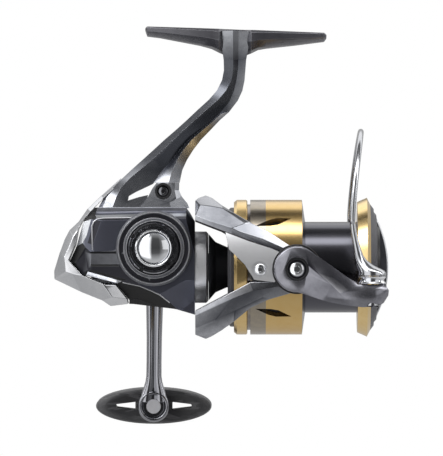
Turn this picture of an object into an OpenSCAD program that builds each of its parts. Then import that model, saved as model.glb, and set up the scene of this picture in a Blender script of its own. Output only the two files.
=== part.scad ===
// Spinning reel for fishing, about size 4000.
// Origin: middle of the foot's seat. +X points to the spool, +Z to the rod, +Y to the handle.
// Outlines are drawn as [x, height above the spool axis].

/* [Overall] */
// Height of the foot's seat above the spool axis
axis_drop = 88.5; // [74:0.5:110]
// Distance of the crank axis behind the middle of the foot
crank_back = 30.3; // [30:0.1:31]
// Height of the crank axis above the spool axis
crank_rise = 7.1; // [6.6:0.1:9]
// Half the width of the gearbox
box_half_w = 16; // [15:0.5:20]

/* [Foot and stem] */
// Length of the foot along the rod
foot_len = 67.8; // [56:0.5:82]
// Width of the foot at its middle
foot_w = 17; // [14:0.5:21]
// Width of the foot at its ends
foot_tip_w = 8; // [6:0.5:10]
// Thickness of the foot at its ends
foot_tip_t = 2.7; // [2.2:0.1:3.3]
// Depth of the foot where it runs into the stem
foot_root_t = 9; // [7.5:0.5:11]
// Angle of the seat to the spool axis
foot_tilt = 2.04; // [0:0.1:4]
// Half the width of the stem's neck
neck_half_w = 4.7; // [4:0.1:6]
// Half the width of the stem's legs at the gearbox
leg_half_w = 8; // [6.5:0.5:9]

/* [Gearbox] */
// Thickness of the gearbox walls at the sides
box_wall = 4; // [3.3:0.1:4.5]
// Thickness of the bright guard round the back
guard_wall = 2.5; // [2:0.1:3]
// How far the guard stands proud of the gearbox sides
guard_proud = 0.6; // [0.4:0.1:1]
// Radius of the round boss under the side cap
boss_r = 14.2; // [11.9:0.1:15]
// Radius of the dark ring round the side cap
boss_ring_r = 11.7; // [9.8:0.1:11.8]
// Radius of the side cap
cap_r = 7; // [5.9:0.1:8.4]

/* [Gear train] */
// Radius of the drive gear
drive_r = 11.2; // [10.6:0.1:11.2]
// Teeth on the drive gear
drive_teeth = 48; // [40:1:58]
// Radius over the pinion's teeth
pinion_r = 3.9; // [3.6:0.1:4.1]
// Teeth on the pinion
pinion_teeth = 9; // [7:1:11]
// Radius over the teeth of the gear on the cross-grooved shaft
worm_gear_r = 4.4; // [3.9:0.1:4.5]
// Teeth on that gear
worm_teeth = 12; // [10:1:14]
// Radius of the cross-grooved shaft
worm_r = 2.2; // [1.9:0.1:2.3]
// Radius of the drive gear's shaft
crank_shaft_r = 3.5; // [3:0.1:3.6]
// Radius of the main shaft inside the pinion
shaft_r = 1.75; // [1.5:0.05:1.8]
// Radius of the main shaft under the spool
shaft_front_r = 2.4; // [2.1:0.1:2.9]
// Stroke of the main shaft
stroke = 19; // [15.5:0.5:20.5]

/* [Spool] */
// Radius of the spool's skirt
skirt_r = 25.1; // [23.5:0.1:30.2]
// Thickness of the skirt
skirt_wall = 2.3; // [2:0.1:2.8]
// Largest radius of the front lip
lip_r = 25.9; // [24.5:0.1:31]
// Radius of the line barrel
barrel_r = 16.9; // [15:0.1:19.5]
// Length of the line barrel
barrel_len = 19.4; // [18.5:0.1:23]
// Length of the skirt with its rear ring
skirt_len = 26.5; // [25:0.1:28]
// Radius of the drag knob
knob_r = 20.7; // [18.5:0.1:21.2]
// How far the drag knob's grip stands out of the spool
grip_height = 5.8; // [4.9:0.1:7]

/* [Rotor and bail] */
// Thickness of the rotor's arms
arm_t = 3.7; // [3.2:0.1:4.4]
// Distance of the bail hinge in front of the foot's middle
pivot_x = 22.7; // [22:0.1:23.5]
// Height of the bail hinge above the spool axis
pivot_z = -0.6; // [-1:0.1:0]
// Radius of the round end of the bail arm
pivot_end_r = 8.6; // [7.5:0.1:8.8]
// Thickness of the bail arm at its hinge
bail_arm_t = 3.3; // [2.8:0.1:4]
// Radius of the line roller
roller_r = 5.2; // [4.4:0.1:5.4]
// Width of the line roller
roller_w = 2.8; // [2.4:0.1:3]
// Radius of the bail wire
wire_r = 1.1; // [0.9:0.05:1.4]
// Height of the top of the bail wire above the spool's widest rim
wire_rise = 25.7; // [22.4:0.1:36.2]

/* [Handle] */
// Throw of the handle, from the crank axis to the knob axis
throw = 60; // [50:0.5:72]
// Distance of the handle arm from the middle of the reel
arm_y = 44.5; // [43:0.5:50]
// Thickness of the handle arm
arm_thick = 5; // [4.2:0.1:6]
// Width of the handle arm
arm_w = 6.4; // [5.4:0.1:7.6]
// Radius of the eye that holds the knob
eye_r = 6; // [5.2:0.1:6.6]
// Width of the knob
knob_w = 44; // [37:0.5:53]
// Thickness of the knob
knob_t = 13.8; // [12:0.1:16]
// Height of the knob
knob_h = 26; // [22:0.5:31]
// Radius of the post that carries the knob
post_r = 2.4; // [2:0.1:2.8]

/* [Fits] */
// Running clearance of shafts in their bores
run_gap = 0.05; // [0.03:0.01:0.08]
// Space between faces that pass each other
pass_gap = 0.3; // [0.25:0.05:0.4]
// Space between the tips of gear teeth that run together
tip_gap = 0.15; // [0.1:0.01:0.2]

/* [Hidden] */
$fn = 64;

eps = 0.01;
cut = 1;
wide = 200;

// Stations along the spool axis
box_front = -15.3;
box_front_wall = 3.6;
collar_len = 5.2;
rotor_back = -14.9;
saddle_front = -1.1;
drum_back = -2.4;
drum_floor_t = 2.5;
skirt_back = saddle_front + 0.54;
skirt_groove_x = skirt_back + 4.99;
skirt_body_x = skirt_groove_x + 1.09;
barrel_back = skirt_back + skirt_len;
barrel_front = barrel_back + barrel_len;
lip_t = 4.8;
lip_front = barrel_front + lip_t;
clamp_t = 1.3;
knob_seat = lip_front + clamp_t;
knob_nose = knob_seat + grip_height;
shaft_step = 12;
shaft_end = knob_nose - 2.7;

// Spool radii
spigot_r = skirt_r - 1.7;
skirt_in_r = skirt_r - skirt_wall;
lip_seat_r = knob_r + 1.2;
recess_r = knob_r + 0.4;
recess_floor = lip_front - 2.5;
web_t = 2.9;
web_back = barrel_back - web_t;
pocket_r = 13;
pocket_floor = barrel_back + 10.1;
hub_r = 8.2;
hub_back = web_back - 3;
bearing_r = 6;
barrel_wall = 1.7;
slot_angles = [42, 138, 222, 318];
slot_slant = 16;
grip_arc = (knob_r * knob_r + grip_height * grip_height) / (2 * grip_height);
grip_half_w = 3.6;
trim_half_w = 1.2;
trim_depth = 1.8;

// Rotor radii, worked out from the spool that turns inside the arms
spool_max_r = max(skirt_r, lip_r);
arm_in_r = skirt_r + 0.8;
arm_out_r = arm_in_r + arm_t;
cover_in_r = arm_out_r - 1.8;
drum_r = skirt_in_r - 2 * pass_gap;
drum_wall = 1.8;
drum_front = web_back - 2 * pass_gap;
saddle_r = arm_in_r + 1;
saddle_in_r = drum_r - 1.7;
pivot_flat = arm_out_r - 0.8;
swing_y = pivot_flat + pass_gap;
cover_out_r = pivot_flat;
cover_ledge_r = cover_in_r + 0.6;
cover_pin_x = 9.1;
cover_pin_z = -0.7;
cover_pin_r = 0.9;
cover_pin_recess_r = 3;

// Bail
roller_x = pivot_x + 27.6;
roller_y = -(spool_max_r + 1.1 + roller_r);
roller_top = pivot_z - 2.6;
roller_bottom = roller_top - roller_w;
arm_top = roller_bottom - 0.2;
loop_half = spool_max_r + 5.1;
loop_plane = 6;
loop_foot_x = pivot_x + 20.5;
loop_foot_z = 16;
wire_top = spool_max_r + wire_rise;
loop_spring_z = wire_top - wire_r - loop_half;
pin_r = 1.75;
pin_head_r = 3.1;
pin_recess_r = 4.35;
far_lever_rise = 22.6;
far_bend_r = 14;
far_turn = 90 - loop_plane - far_lever_rise;
far_end_x = loop_foot_x - far_bend_r * (cos(loop_plane) - sin(far_lever_rise));
far_end_z = loop_foot_z + far_bend_r * (sin(loop_plane) - cos(far_lever_rise));

// Gearbox
crank_x = -crank_back;
split_y = box_half_w - box_wall - 0.5;
plate_y = box_half_w - guard_wall;
crank_bore_r = 2;
bearing_side_r = 6.5;
bearing_w = 3.5;
boss_far = box_half_w + 6;
gear_face_y = pinion_r + tip_gap;
gear_teeth_t = 1.55;
gear_web_t = 2.8;
gear_ring_in = drive_r - 2.8;
pinion_tube_r = 3.2;
pinion_root_r = 3;
pinion_journal_r = 2.3;
pinion_front = 5;
teeth_front = box_front - box_front_wall - pass_gap;
pedestal_front = crank_x + 4.1;
pedestal_back = pedestal_front - 2.4;
pedestal_top = 3.3;
worm_dist = pinion_r + worm_gear_r + tip_gap;
worm_angle = 36.3;
worm_y = -worm_dist * cos(worm_angle);
worm_z = -worm_dist * sin(worm_angle);
worm_back = -53.6;
worm_journal_r = 1.2;
slider_back = -55;
slider_len = 5.5;
slider_top = crank_rise - crank_shaft_r - pass_gap;
slider_bottom = worm_z + worm_r + 0.25;
rod_r = 1;
rod_y = worm_y - 1.6;
rod_z = 0.7;
leg_screw_x = -26.9;
leg_screw_z = 28.3;
clutch_r = 9;
collar_r = split_y + 1.8;
sleeve_r = 5.2;

// Handle
knob_x_lean = -0.6;
lean = atan(-knob_x_lean / throw);
knob_y = wire_top + 1.9;
arm_far = arm_y + arm_thick;

// ---- Helpers -------------------------------------------------------------------------------

// Local +Z becomes +X on the spool axis
module on_axis(x = 0) {
    translate([x, 0, -axis_drop]) rotate([0, 90, 0]) children();
}

// Local +Z becomes +Y, at a point given from the spool axis
module along_y(x, z, y = 0) {
    translate([x, y, z - axis_drop]) rotate([-90, 0, 0]) children();
}

module tube_x(x0, x1, outer, inner = 0) {
    on_axis(x0) difference() {
        cylinder(h = x1 - x0, r = outer);
        if (inner > 0) translate([0, 0, -cut]) cylinder(h = x1 - x0 + 2 * cut, r = inner);
    }
}

module tube_y(x, z, y0, y1, outer, inner = 0) {
    along_y(x, z, y0) difference() {
        cylinder(h = y1 - y0, r = outer);
        if (inner > 0) translate([0, 0, -cut]) cylinder(h = y1 - y0 + 2 * cut, r = inner);
    }
}

// Turns a profile of [radius, x] about the spool axis
module turned(points) {
    on_axis() rotate_extrude() polygon(points);
}

// Extrudes an outline of [x, height above the spool axis] from y0 to y1
module plate(y0, y1) {
    translate([0, y1, -axis_drop]) rotate([90, 0, 0]) linear_extrude(y1 - y0) children();
}

// Half-width of the gearbox against height, pushed out or in by extra
module box_section(extra = 0) {
    w = box_half_w + extra;
    translate([-wide / 2, 0, -axis_drop]) rotate([90, 0, 90]) linear_extrude(wide)
        polygon([[-w + 7, -18 - extra], [w - 7, -18 - extra], [w - 1.5, -12 - extra], [w, -6], [w, 12],
                 [w - 2, 18 + extra], [w - 6.5, 22.4 + extra], [-w + 6.5, 22.4 + extra],
                 [-w + 2, 18 + extra], [-w, 12], [-w, -6], [-w + 1.5, -12 - extra]]);
}

// ---- Outlines ------------------------------------------------------------------------------

module box_outline() {
    polygon([[box_front, -17.9], [-18.8, -17.5], [-21.8, -15.6], [-31.9, -14.1], [-46.4, -14.5],
             [-54.2, -10.8], [-66.7, -5.2], [-67.6, -3], [-66.5, 1.5], [-64.3, 8.2], [-61.3, 13.8],
             [-56.1, 19], [-51.4, 22.4], [-18.3, 22.4], [-16.6, 20.5], [box_front, 17]]);
}

// The gearbox inside the guard
module core_outline() {
    polygon([[box_front, -17.9], [-18.8, -17.5], [-21.8, -15.6], [-31.9, -14.1], [-40, -14.2],
             [-45.8, -12.8], [-53.6, -9.2], [-65, -3.8], [-64.6, 0.9], [-62.5, 7.4], [-59.8, 12.6],
             [-54.8, 17.8], [-50.3, 22.4], [-18.3, 22.4], [-16.6, 20.5], [box_front, 17]]);
}

module cavity_outline() {
    inner_front = box_front - box_front_wall;
    polygon([[inner_front, -13.7], [-24.5, -13.7], [-32, -12.2], [-45, -11.2], [-54.6, -7.4],
             [-62.6, -2.9], [-62.7, 0.6], [-58.2, 11.6], [-53.6, 16.4], [-50, 20.4], [-20, 20.4],
             [inner_front, 17]]);
}

// What the bright guard covers
module guard_zone() {
    polygon([[-50.3, 26], [-53.5, 21.6], [-58, 13.8], [-62.1, 1.5], [-57.2, -3.1], [-43.5, -5.6],
             [-39.7, -14.3], [-39.7, -20], [-72, -20], [-72, 26]]);
}

module stem_outline() {
    // Heights near the foot hang from the seat, the others stand on the gearbox
    top = axis_drop;
    polygon([[4.2, top - 10.2], [3.6, top - 14.1], [3.3, top - 18.4], [2.4, top - 22],
             [0.9, top - 25.6], [-1.3, top - 29.2], [-3.7, top - 32.4],
             [-10.4, 49.2], [-13.5, 45.9], [-16.2, 41.8], [-18.3, 38.2], [-19.8, 34.5],
             [-21.1, 28.7], [-20.1, 26.3], [-18.3, 24.2], [-17.3, 21.5], [-17.3, 18], [-50, 18],
             [-54, 21.2], [-50.5, 25], [-45.1, 30.2], [-38.9, 36.4], [-26.8, 47.4],
             [-14.7, 58], [-9.9, top - 26.2], [-7, top - 23.3], [-5.5, top - 20.2],
             [-4.7, top - 17.1], [-4.4, top - 10.2]]);
}

module stem_window() {
    polygon([[-40.1, 24.8], [-39.7, 26.5], [-37.1, 28], [-30.7, 31], [-30.5, 30.6], [-32.6, 26.9],
             [-36, 26.1]]);
}

module leg_cover_outline() {
    polygon([[-29.6, 32.1], [-20.8, 32.1], [-21.1, 28.7], [-20.1, 26.3], [-18.3, 24.2],
             [-17.7, 22.4], [-36.3, 22.4], [-34.1, 23.9], [-32.6, 26.1], [-31.1, 29.5]]);
}

// Half-width of the stem against height
module stem_section() {
    top = axis_drop;
    translate([-wide / 2, 0, -axis_drop]) rotate([90, 0, 90]) linear_extrude(wide)
        polygon([for (side = [1, -1]) each [
            for (p = [[0.75 * foot_w / 2, top], [neck_half_w, top - 12], [neck_half_w, top - 30],
                      [neck_half_w + 0.6, 45], [leg_half_w - 1, 32.1], [leg_half_w, 26],
                      [leg_half_w, 18]])
                side > 0 ? [p[0], p[1]] : [-p[0], p[1]]
        ]] , [[for (i = [0:6]) i, for (i = [13:-1:7]) i]]);
}

// ---- Body ----------------------------------------------------------------------------------

module foot_shape() {
    half = foot_len / 2;
    sag = (foot_w - foot_tip_w) / 2;
    edge_r = (half * half + sag * sag) / (2 * sag);
    intersection() {
        translate([0, foot_w / 2, 0]) rotate([90, 0, 0]) linear_extrude(foot_w)
            polygon([[-half + 0.3, 0], [half, 0], [half, -foot_tip_t], [21.8, -foot_tip_t - 2.4],
                     [11.4, -foot_root_t + 2.3], [8.4, -foot_root_t + 1.6], [5.8, -foot_root_t + 0.4],
                     [4.2, -foot_root_t - 1.5], [-4.3, -foot_root_t - 1.5], [-6.1, -foot_root_t + 0.3],
                     [-8.9, -foot_root_t + 1.6], [-12.9, -foot_root_t + 2.5], [-20.7, -5.1],
                     [-half + 5.7, -foot_tip_t - 1.1], [-half, -foot_tip_t]]);
        translate([0, 0, -2 * foot_root_t]) linear_extrude(3 * foot_root_t) intersection() {
            translate([0, edge_r - foot_w / 2]) circle(r = edge_r, $fn = 200);
            translate([0, -edge_r + foot_w / 2]) circle(r = edge_r, $fn = 200);
        }
    }
}

module body_frame() color("#2d3036") {
    difference() {
        union() {
            rotate([0, foot_tilt, 0]) foot_shape();
            intersection() {
                plate(-wide / 4, wide / 4) difference() {
                    stem_outline();
                    stem_window();
                }
                stem_section();
                translate([-wide / 2, -wide / 2, -wide]) cube([wide, wide, wide - 6]);
            }
            gearbox_walls();
            tube_y(crank_x, crank_rise, box_half_w - box_wall, boss_far, 10);
        }
        gearbox_cavity();
        plate(-wide / 4, -split_y) core_outline();
        plate(-wide / 4, -3) leg_cover_outline();
        tube_x(box_front - box_front_wall - cut, box_front + cut, bearing_r);
        far_bearing_bore();
        tube_y(crank_x, crank_rise, 0, boss_far + cut, crank_shaft_r + 0.8);
        leg_screw_hole(1.2);
    }
    pedestal();
    worm_post();
}

module gearbox_walls() {
    intersection() {
        union() {
            plate(-split_y, box_half_w) difference() {
                core_outline();
                guard_zone();
            }
            plate(-split_y, plate_y) intersection() {
                core_outline();
                guard_zone();
            }
        }
        box_section();
    }
}

module gearbox_cavity() {
    intersection() {
        plate(-wide / 4, box_half_w - box_wall) cavity_outline();
        box_section(-2);
    }
}

module far_bearing_bore() {
    tube_y(crank_x, crank_rise, box_half_w - box_wall - cut, box_half_w - box_wall + bearing_w,
           bearing_side_r);
}

// Web inside the gearbox that carries the back of the pinion and the front of the worm
module pedestal() {
    difference() {
        intersection() {
            plate(-split_y + 0.4, 3.6) polygon([[pedestal_back, -14], [pedestal_front, -14],
                [pedestal_front, pedestal_top], [pedestal_back, pedestal_top]]);
            box_section();
        }
        tube_x(pedestal_back - cut, pedestal_front + cut, pinion_journal_r + run_gap + 0.45);
        worm_bore(pedestal_back - cut, pedestal_front + cut);
        rod_bore(pedestal_back - cut, pedestal_front + cut);
    }
}

module worm_post() {
    difference() {
        plate(worm_y - 2.6, worm_y + 2.6) polygon([[worm_back - 2.1, -8.1], [worm_back - 0.1, -9],
            [worm_back - 0.1, worm_z + 2.4], [worm_back - 2.1, worm_z + 2.4]]);
        worm_bore(worm_back - 3, worm_back + cut);
    }
}

module worm_bore(x0, x1) {
    translate([0, worm_y, worm_z]) tube_x(x0, x1, worm_journal_r + run_gap);
}

module rod_bore(x0, x1) {
    translate([0, rod_y, rod_z]) tube_x(x0, x1, rod_r);
}

module leg_screw_hole(r) {
    tube_y(leg_screw_x, leg_screw_z, -leg_half_w - cut, leg_half_w - 3, r);
}

module leg_cover() color("#34373e") {
    difference() {
        intersection() {
            plate(-wide / 4, -3) leg_cover_outline();
            stem_section();
        }
        leg_screw_hole(1.2);
        tube_y(leg_screw_x, leg_screw_z, -leg_half_w - cut, -leg_half_w + 2.2, 3);
    }
}

module cover_screw() color("#c9ccd2") {
    head_y = -leg_half_w + 0.5;
    difference() {
        union() {
            tube_y(leg_screw_x, leg_screw_z, head_y, -leg_half_w + 2.2, 2.05);
            tube_y(leg_screw_x, leg_screw_z, -leg_half_w + 2.2, leg_half_w - 3, 1.2);
        }
        along_y(leg_screw_x, leg_screw_z, head_y - cut) cylinder(h = cut + 1.1, r = 1.1, $fn = 6);
    }
}

module side_cover() color("#4a4c55") {
    difference() {
        union() {
            intersection() {
                union() {
                    plate(-box_half_w, -plate_y) difference() {
                        core_outline();
                        guard_zone();
                    }
                    plate(-plate_y, -split_y) core_outline();
                }
                box_section();
            }
            tube_y(crank_x, crank_rise, -box_half_w - 1, -plate_y, boss_r - 0.2);
        }
        tube_y(crank_x, crank_rise, -box_half_w + 0.6, -split_y + cut, bearing_side_r);
        tube_y(crank_x, crank_rise, -box_half_w - 2, -split_y + cut, crank_shaft_r + 0.8);
    }
}

module rear_guard() color("#cfd2d8") {
    difference() {
        intersection() {
            plate(-wide / 4, wide / 4) intersection() {
                box_outline();
                guard_zone();
            }
            box_section(guard_proud);
        }
        intersection() {
            plate(-plate_y, plate_y) core_outline();
            box_section();
        }
        intersection() {
            plate(-wide / 4, wide / 4) stem_outline();
            stem_section();
        }
    }
}

module boss_ring() color("#26282c") {
    base = -box_half_w - 1;
    difference() {
        union() {
            tube_y(crank_x, crank_rise, base - 1, base, boss_ring_r, cap_r + run_gap);
            for (a = [150, 60, -30, 240]) along_y(crank_x, crank_rise, base - 1.5)
                rotate([0, 0, -a]) translate([cap_r + 1.2, -1.3, 0]) cube([1.8, 2.6, 1]);
        }
        tube_y(crank_x, crank_rise, base - 3, base + cut, cap_r + run_gap);
    }
}

module side_cap() color("#d7dade") {
    base = -box_half_w - 1;
    dome_r = cap_r - 1.6;
    dome_h = 2;
    ball_r = (dome_r * dome_r + dome_h * dome_h) / (2 * dome_h);
    difference() {
        tube_y(crank_x, crank_rise, base - 2.8, base, cap_r);
        tube_y(crank_x, crank_rise, base - 4, base - 2, dome_r + 0.3);
    }
    intersection() {
        along_y(crank_x, crank_rise, base - 2 - dome_h + ball_r) sphere(r = ball_r);
        tube_y(crank_x, crank_rise, base - 6, base - 1.9, dome_r);
    }
}

// ---- Clutch and pinion ---------------------------------------------------------------------

// The collar covers the joint between the case and its cover
module clutch_collar() color("#c5c8cd") {
    turned([[clutch_r, box_front], [collar_r, box_front], [collar_r, box_front + collar_len - 0.8],
            [collar_r - 0.8, box_front + collar_len], [clutch_r - 1.5, box_front + collar_len],
            [clutch_r - 1.5, box_front + collar_len - 0.8], [clutch_r, box_front + collar_len - 0.8]]);
}

module clutch_cage() color("#b8a27a") {
    rollers = 8;
    difference() {
        tube_x(box_front, box_front + collar_len - 0.8, clutch_r, sleeve_r + run_gap);
        on_axis(box_front + 0.6) for (i = [0:rollers - 1]) rotate([0, 0, i * 360 / rollers])
            translate([7.2, 0, 0]) cylinder(h = collar_len, r = 1);
    }
}

module clutch_sleeve() color("#8f9297") {
    tube_x(box_front + 0.5, box_front + collar_len + 0.4, sleeve_r, pinion_tube_r);
}

module pinion_bearing() color("#b5b8bd") {
    x0 = box_front - box_front_wall + 0.2;
    difference() {
        tube_x(x0, box_front, bearing_r, pinion_tube_r + run_gap);
        tube_x(x0 - cut, x0 + 0.3, bearing_r - 0.8, pinion_tube_r + 0.8);
    }
}

module pinion_bush() color("#b08d57") {
    tube_x(pedestal_back, pedestal_front, pinion_journal_r + run_gap + 0.45,
           pinion_journal_r + run_gap);
}

// Outline of a straight-toothed wheel
module toothed(teeth, tip, root) {
    step = 360 / teeth;
    polygon([for (i = [0:teeth - 1]) for (s = [[-0.32, root], [-0.16, tip], [0.16, tip], [0.32, root]])
        [s[1] * cos((i + s[0]) * step), s[1] * sin((i + s[0]) * step)]]);
}

module pinion() color("#c2a368") {
    difference() {
        union() {
            on_axis(pedestal_front + 0.1) linear_extrude(teeth_front - pedestal_front - 0.1)
                toothed(pinion_teeth, pinion_r, pinion_root_r);
            tube_x(pedestal_back, pedestal_front + 0.2, pinion_journal_r);
            tube_x(teeth_front - 0.2, pinion_front, pinion_tube_r);
        }
        tube_x(pedestal_back - cut, pinion_front + cut, shaft_r + run_gap);
    }
}

module worm_shaft() color("#a9acb1") {
    translate([0, worm_y, worm_z]) {
        difference() {
            tube_x(worm_back, pedestal_back - 0.1, worm_r);
            for (side = [-1, 1]) for (i = [0:5])
                translate([worm_back + 3 + i * 3.6, 0, -axis_drop]) rotate([0, 90 + side * 28, 0])
                    rotate_extrude() translate([worm_r + 0.45, 0]) square([1, 0.9], center = true);
        }
        tube_x(worm_back - 2.1, worm_back, worm_journal_r);
        tube_x(pedestal_back - 0.1, teeth_front, worm_journal_r);
        on_axis(pedestal_front + 2) linear_extrude(teeth_front - pedestal_front - 2.4)
            toothed(worm_teeth, worm_gear_r, worm_gear_r - 0.9);
    }
}

// ---- Crank and handle ----------------------------------------------------------------------

module drive_gear() color("#b9b0a0") {
    near_end = -box_half_w + 0.8;
    far_end = boss_far - 0.4;
    difference() {
        union() {
            along_y(crank_x, crank_rise, gear_face_y) linear_extrude(gear_teeth_t + 0.2) difference() {
                toothed(drive_teeth, drive_r, drive_r - 0.7);
                circle(r = gear_ring_in);
            }
            tube_y(crank_x, crank_rise, gear_face_y + gear_teeth_t,
                   gear_face_y + gear_teeth_t + gear_web_t, drive_r - 0.35);
            tube_y(crank_x, crank_rise, gear_face_y + gear_teeth_t,
                   box_half_w - box_wall - 0.1, 5.2);
            tube_y(crank_x, crank_rise, near_end, far_end, crank_shaft_r);
        }
        tube_y(crank_x, crank_rise, near_end - cut, far_end + cut, crank_bore_r);
    }
}

module side_bearing(y0) {
    difference() {
        tube_y(crank_x, crank_rise, y0, y0 + bearing_w, bearing_side_r, crank_shaft_r + run_gap);
        for (y = [y0 - cut, y0 + bearing_w - 0.3])
            tube_y(crank_x, crank_rise, y, y + cut + 0.3, bearing_side_r - 0.8, crank_shaft_r + 0.8);
    }
}

module drive_bearing_near() color("#b5b8bd") side_bearing(-box_half_w + 0.8);
module drive_bearing_far() color("#b5b8bd") side_bearing(box_half_w - box_wall);

// The handle leans with its arm, about the crank axis
module leaning() {
    along_y(crank_x, crank_rise) rotate([0, 0, lean]) children();
}

module arm_disc(y0, y1, outer, inner = 0) {
    translate([0, throw, y0]) difference() {
        cylinder(h = y1 - y0, r = outer);
        if (inner > 0) translate([0, 0, -cut]) cylinder(h = y1 - y0 + 2 * cut, r = inner);
    }
}

module handle_shaft() color("#2b2d31") {
    base = boss_far + 0.4;
    tube_y(crank_x, crank_rise, -6, base, crank_bore_r);
    tube_y(crank_x, crank_rise, base, base + 3, 8);
    tube_y(crank_x, crank_rise, base + 3, arm_y, 5.6);
    tube_y(crank_x, crank_rise, arm_y, arm_far, 3.2);
}

module handle_arm() color("#3a3c41") {
    hub = 7.6;
    leaning() difference() {
        union() {
            translate([0, 0, arm_y]) cylinder(h = arm_thick, r = hub);
            translate([0, 0, arm_y]) linear_extrude(arm_thick)
                polygon([[-arm_w / 2 - 0.7, 0], [arm_w / 2 + 0.7, 0], [arm_w / 2, 22],
                         [arm_w / 2 - 0.3, throw - 8], [arm_w / 2 + 0.8, throw - 2],
                         [-arm_w / 2 - 0.8, throw - 2], [-arm_w / 2 + 0.3, throw - 8], [-arm_w / 2, 22]]);
            arm_disc(arm_y, arm_far, eye_r);
        }
        translate([0, 0, arm_y - cut]) cylinder(h = arm_thick + 2 * cut, r = 3.2);
        arm_disc(arm_y - cut, arm_far + cut, post_r);
        arm_disc(arm_y - cut, arm_y + 1.2, eye_r - 1.9);
        translate([-arm_w / 6, 12, arm_y - cut]) cube([arm_w / 3, throw - 24, cut + 0.8]);
    }
}

module eye_cap() color("#a9a9ad") {
    leaning() arm_disc(arm_y, arm_y + 1.2, 2.7);
}

module knob_post() color("#b5b8bd") {
    leaning() {
        arm_disc(arm_y + 1.2, arm_far, post_r);
        arm_disc(arm_far, knob_y - 0.4, 4.2);
        arm_disc(knob_y - 0.4, knob_y + knob_h - 3, post_r);
    }
}

module knob_bearing() color("#b5b8bd") {
    leaning() {
        for (y = [knob_y, knob_y + knob_h - 6]) arm_disc(y, y + 3, 4, post_r + run_gap);
    }
}

module knob_outline() {
    step = 7.5;
    polygon([for (a = [0:step:360 - step]) [knob_w / 2 * cos(a), knob_t / 2 * sin(a)]]);
}

module handle_knob() color("#3a3a3c") {
    slot_in = knob_w / 2 - 14.5;
    leaning() difference() {
        translate([0, throw, knob_y]) linear_extrude(knob_h) knob_outline();
        arm_disc(knob_y - cut, knob_y + 3, 4);
        arm_disc(knob_y + knob_h - 6, knob_y + knob_h + cut, 4);
        arm_disc(knob_y - cut, knob_y + knob_h, post_r + 0.5);
        for (side = [-1, 1]) translate([0, throw, knob_y - cut]) linear_extrude(knob_h + 2 * cut)
            polygon([[side * slot_in, -1.7], [side * (slot_in + 7.5), -0.9],
                     [side * (slot_in + 7.5), 0.9], [side * slot_in, 1.7]]);
    }
}

module knob_end_cap() color("#a9a9ad") {
    leaning() arm_disc(knob_y + knob_h - 2.4, knob_y + knob_h + 0.4, 4);
}

// ---- Main shaft and slider -----------------------------------------------------------------

module main_shaft() color("#c9ccd1") {
    tube_x(slider_back, shaft_step, shaft_r);
    tube_x(shaft_step, shaft_end, shaft_front_r);
}

module slider() color("#8d8f94") {
    difference() {
        plate(rod_y - rod_r - 1.2, gear_face_y - 0.6) polygon([[slider_back, slider_bottom],
            [slider_back + slider_len, slider_bottom], [slider_back + slider_len, slider_top],
            [slider_back, slider_top]]);
        tube_x(slider_back - cut, slider_back + slider_len + cut, shaft_r);
        translate([0, rod_y, rod_z])
            tube_x(slider_back - cut, slider_back + slider_len + cut, rod_r + run_gap);
        slider_pawl_shape();
    }
}

module slider_pawl_shape() {
    translate([slider_back + slider_len / 2, worm_y, slider_bottom - axis_drop - 0.1])
        cylinder(h = rod_z - rod_r - 0.4 - slider_bottom, r = 1);
}

module slider_pawl() color("#c2a368") slider_pawl_shape();

module guide_rod() color("#c9ccd1") {
    translate([0, rod_y, rod_z]) tube_x(slider_back - 3, pedestal_front, rod_r);
}

// ---- Rotor ---------------------------------------------------------------------------------

module arm_legs_outline() {
    polygon([[rotor_back, 25.4], [-10.9, 26.8], [-5.8, 23.2], [-1.7, 20.5], [5.4, 16.3],
             [14.2, 12.3], [pivot_x - 0.9, pivot_z + pivot_end_r], [pivot_x - 6.9, pivot_z + 4],
             [5, 9.7], [-5.4, 13.7], [rotor_back, 17.5]]);
    polygon([[rotor_back, -25.1], [-10.9, -26.9], [-0.6, -20.3], [5.8, -14.6], [12.1, -11.2],
             [17, -9.7], [pivot_x, pivot_z - pivot_end_r], [pivot_x - 4, pivot_z - 3],
             [6.9, -5.2], [rotor_back, -16.4]]);
    cover_outline();
    translate([pivot_x, pivot_z]) circle(r = pivot_end_r);
}

// The bright plate between the legs of a rotor arm
module cover_outline() {
    polygon([[-3.7, 13], [-2.4, 6.7], [0.9, 3.6], [3.4, 1.1], [6.9, -4.5], [14.2, -5.4],
             [pivot_x, pivot_z], [pivot_x - 6.9, 6.2], [5, 9.7]]);
}

module cover_zone(side) {
    plate(side > 0 ? 0 : -wide / 4, side > 0 ? wide / 4 : 0) difference() {
        cover_outline();
        translate([pivot_x, pivot_z]) circle(r = pivot_end_r + 0.6);
    }
}

// The covers lie no prouder than the flats, so that the bail sweeps past them
module arm_cover(side) {
    difference() {
        intersection() {
            cover_zone(side);
            tube_x(rotor_back, pivot_x + 20, cover_out_r, cover_in_r);
        }
        cover_pin_hole(side, cover_pin_r);
        tube_y(cover_pin_x, cover_pin_z, side > 0 ? cover_ledge_r : -arm_out_r - cut,
               side > 0 ? arm_out_r + cut : -cover_ledge_r, cover_pin_recess_r);
    }
}

module cover_pin_hole(side, r) {
    inner = arm_in_r + 0.5;
    tube_y(cover_pin_x, cover_pin_z, side > 0 ? inner : -arm_out_r - cut,
           side > 0 ? arm_out_r + cut : -inner, r);
}

module arm_cover_near() color("#b9bcc2") arm_cover(-1);
module arm_cover_far() color("#b9bcc2") arm_cover(1);

module cover_pin(side) {
    inner = arm_in_r + 0.5;
    ledge = cover_ledge_r;
    head = swing_y - 0.1;
    tube_y(cover_pin_x, cover_pin_z, side > 0 ? inner : -ledge, side > 0 ? ledge : -inner, cover_pin_r);
    tube_y(cover_pin_x, cover_pin_z, side > 0 ? ledge : -head, side > 0 ? head : -ledge, 2.2);
}

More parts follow.
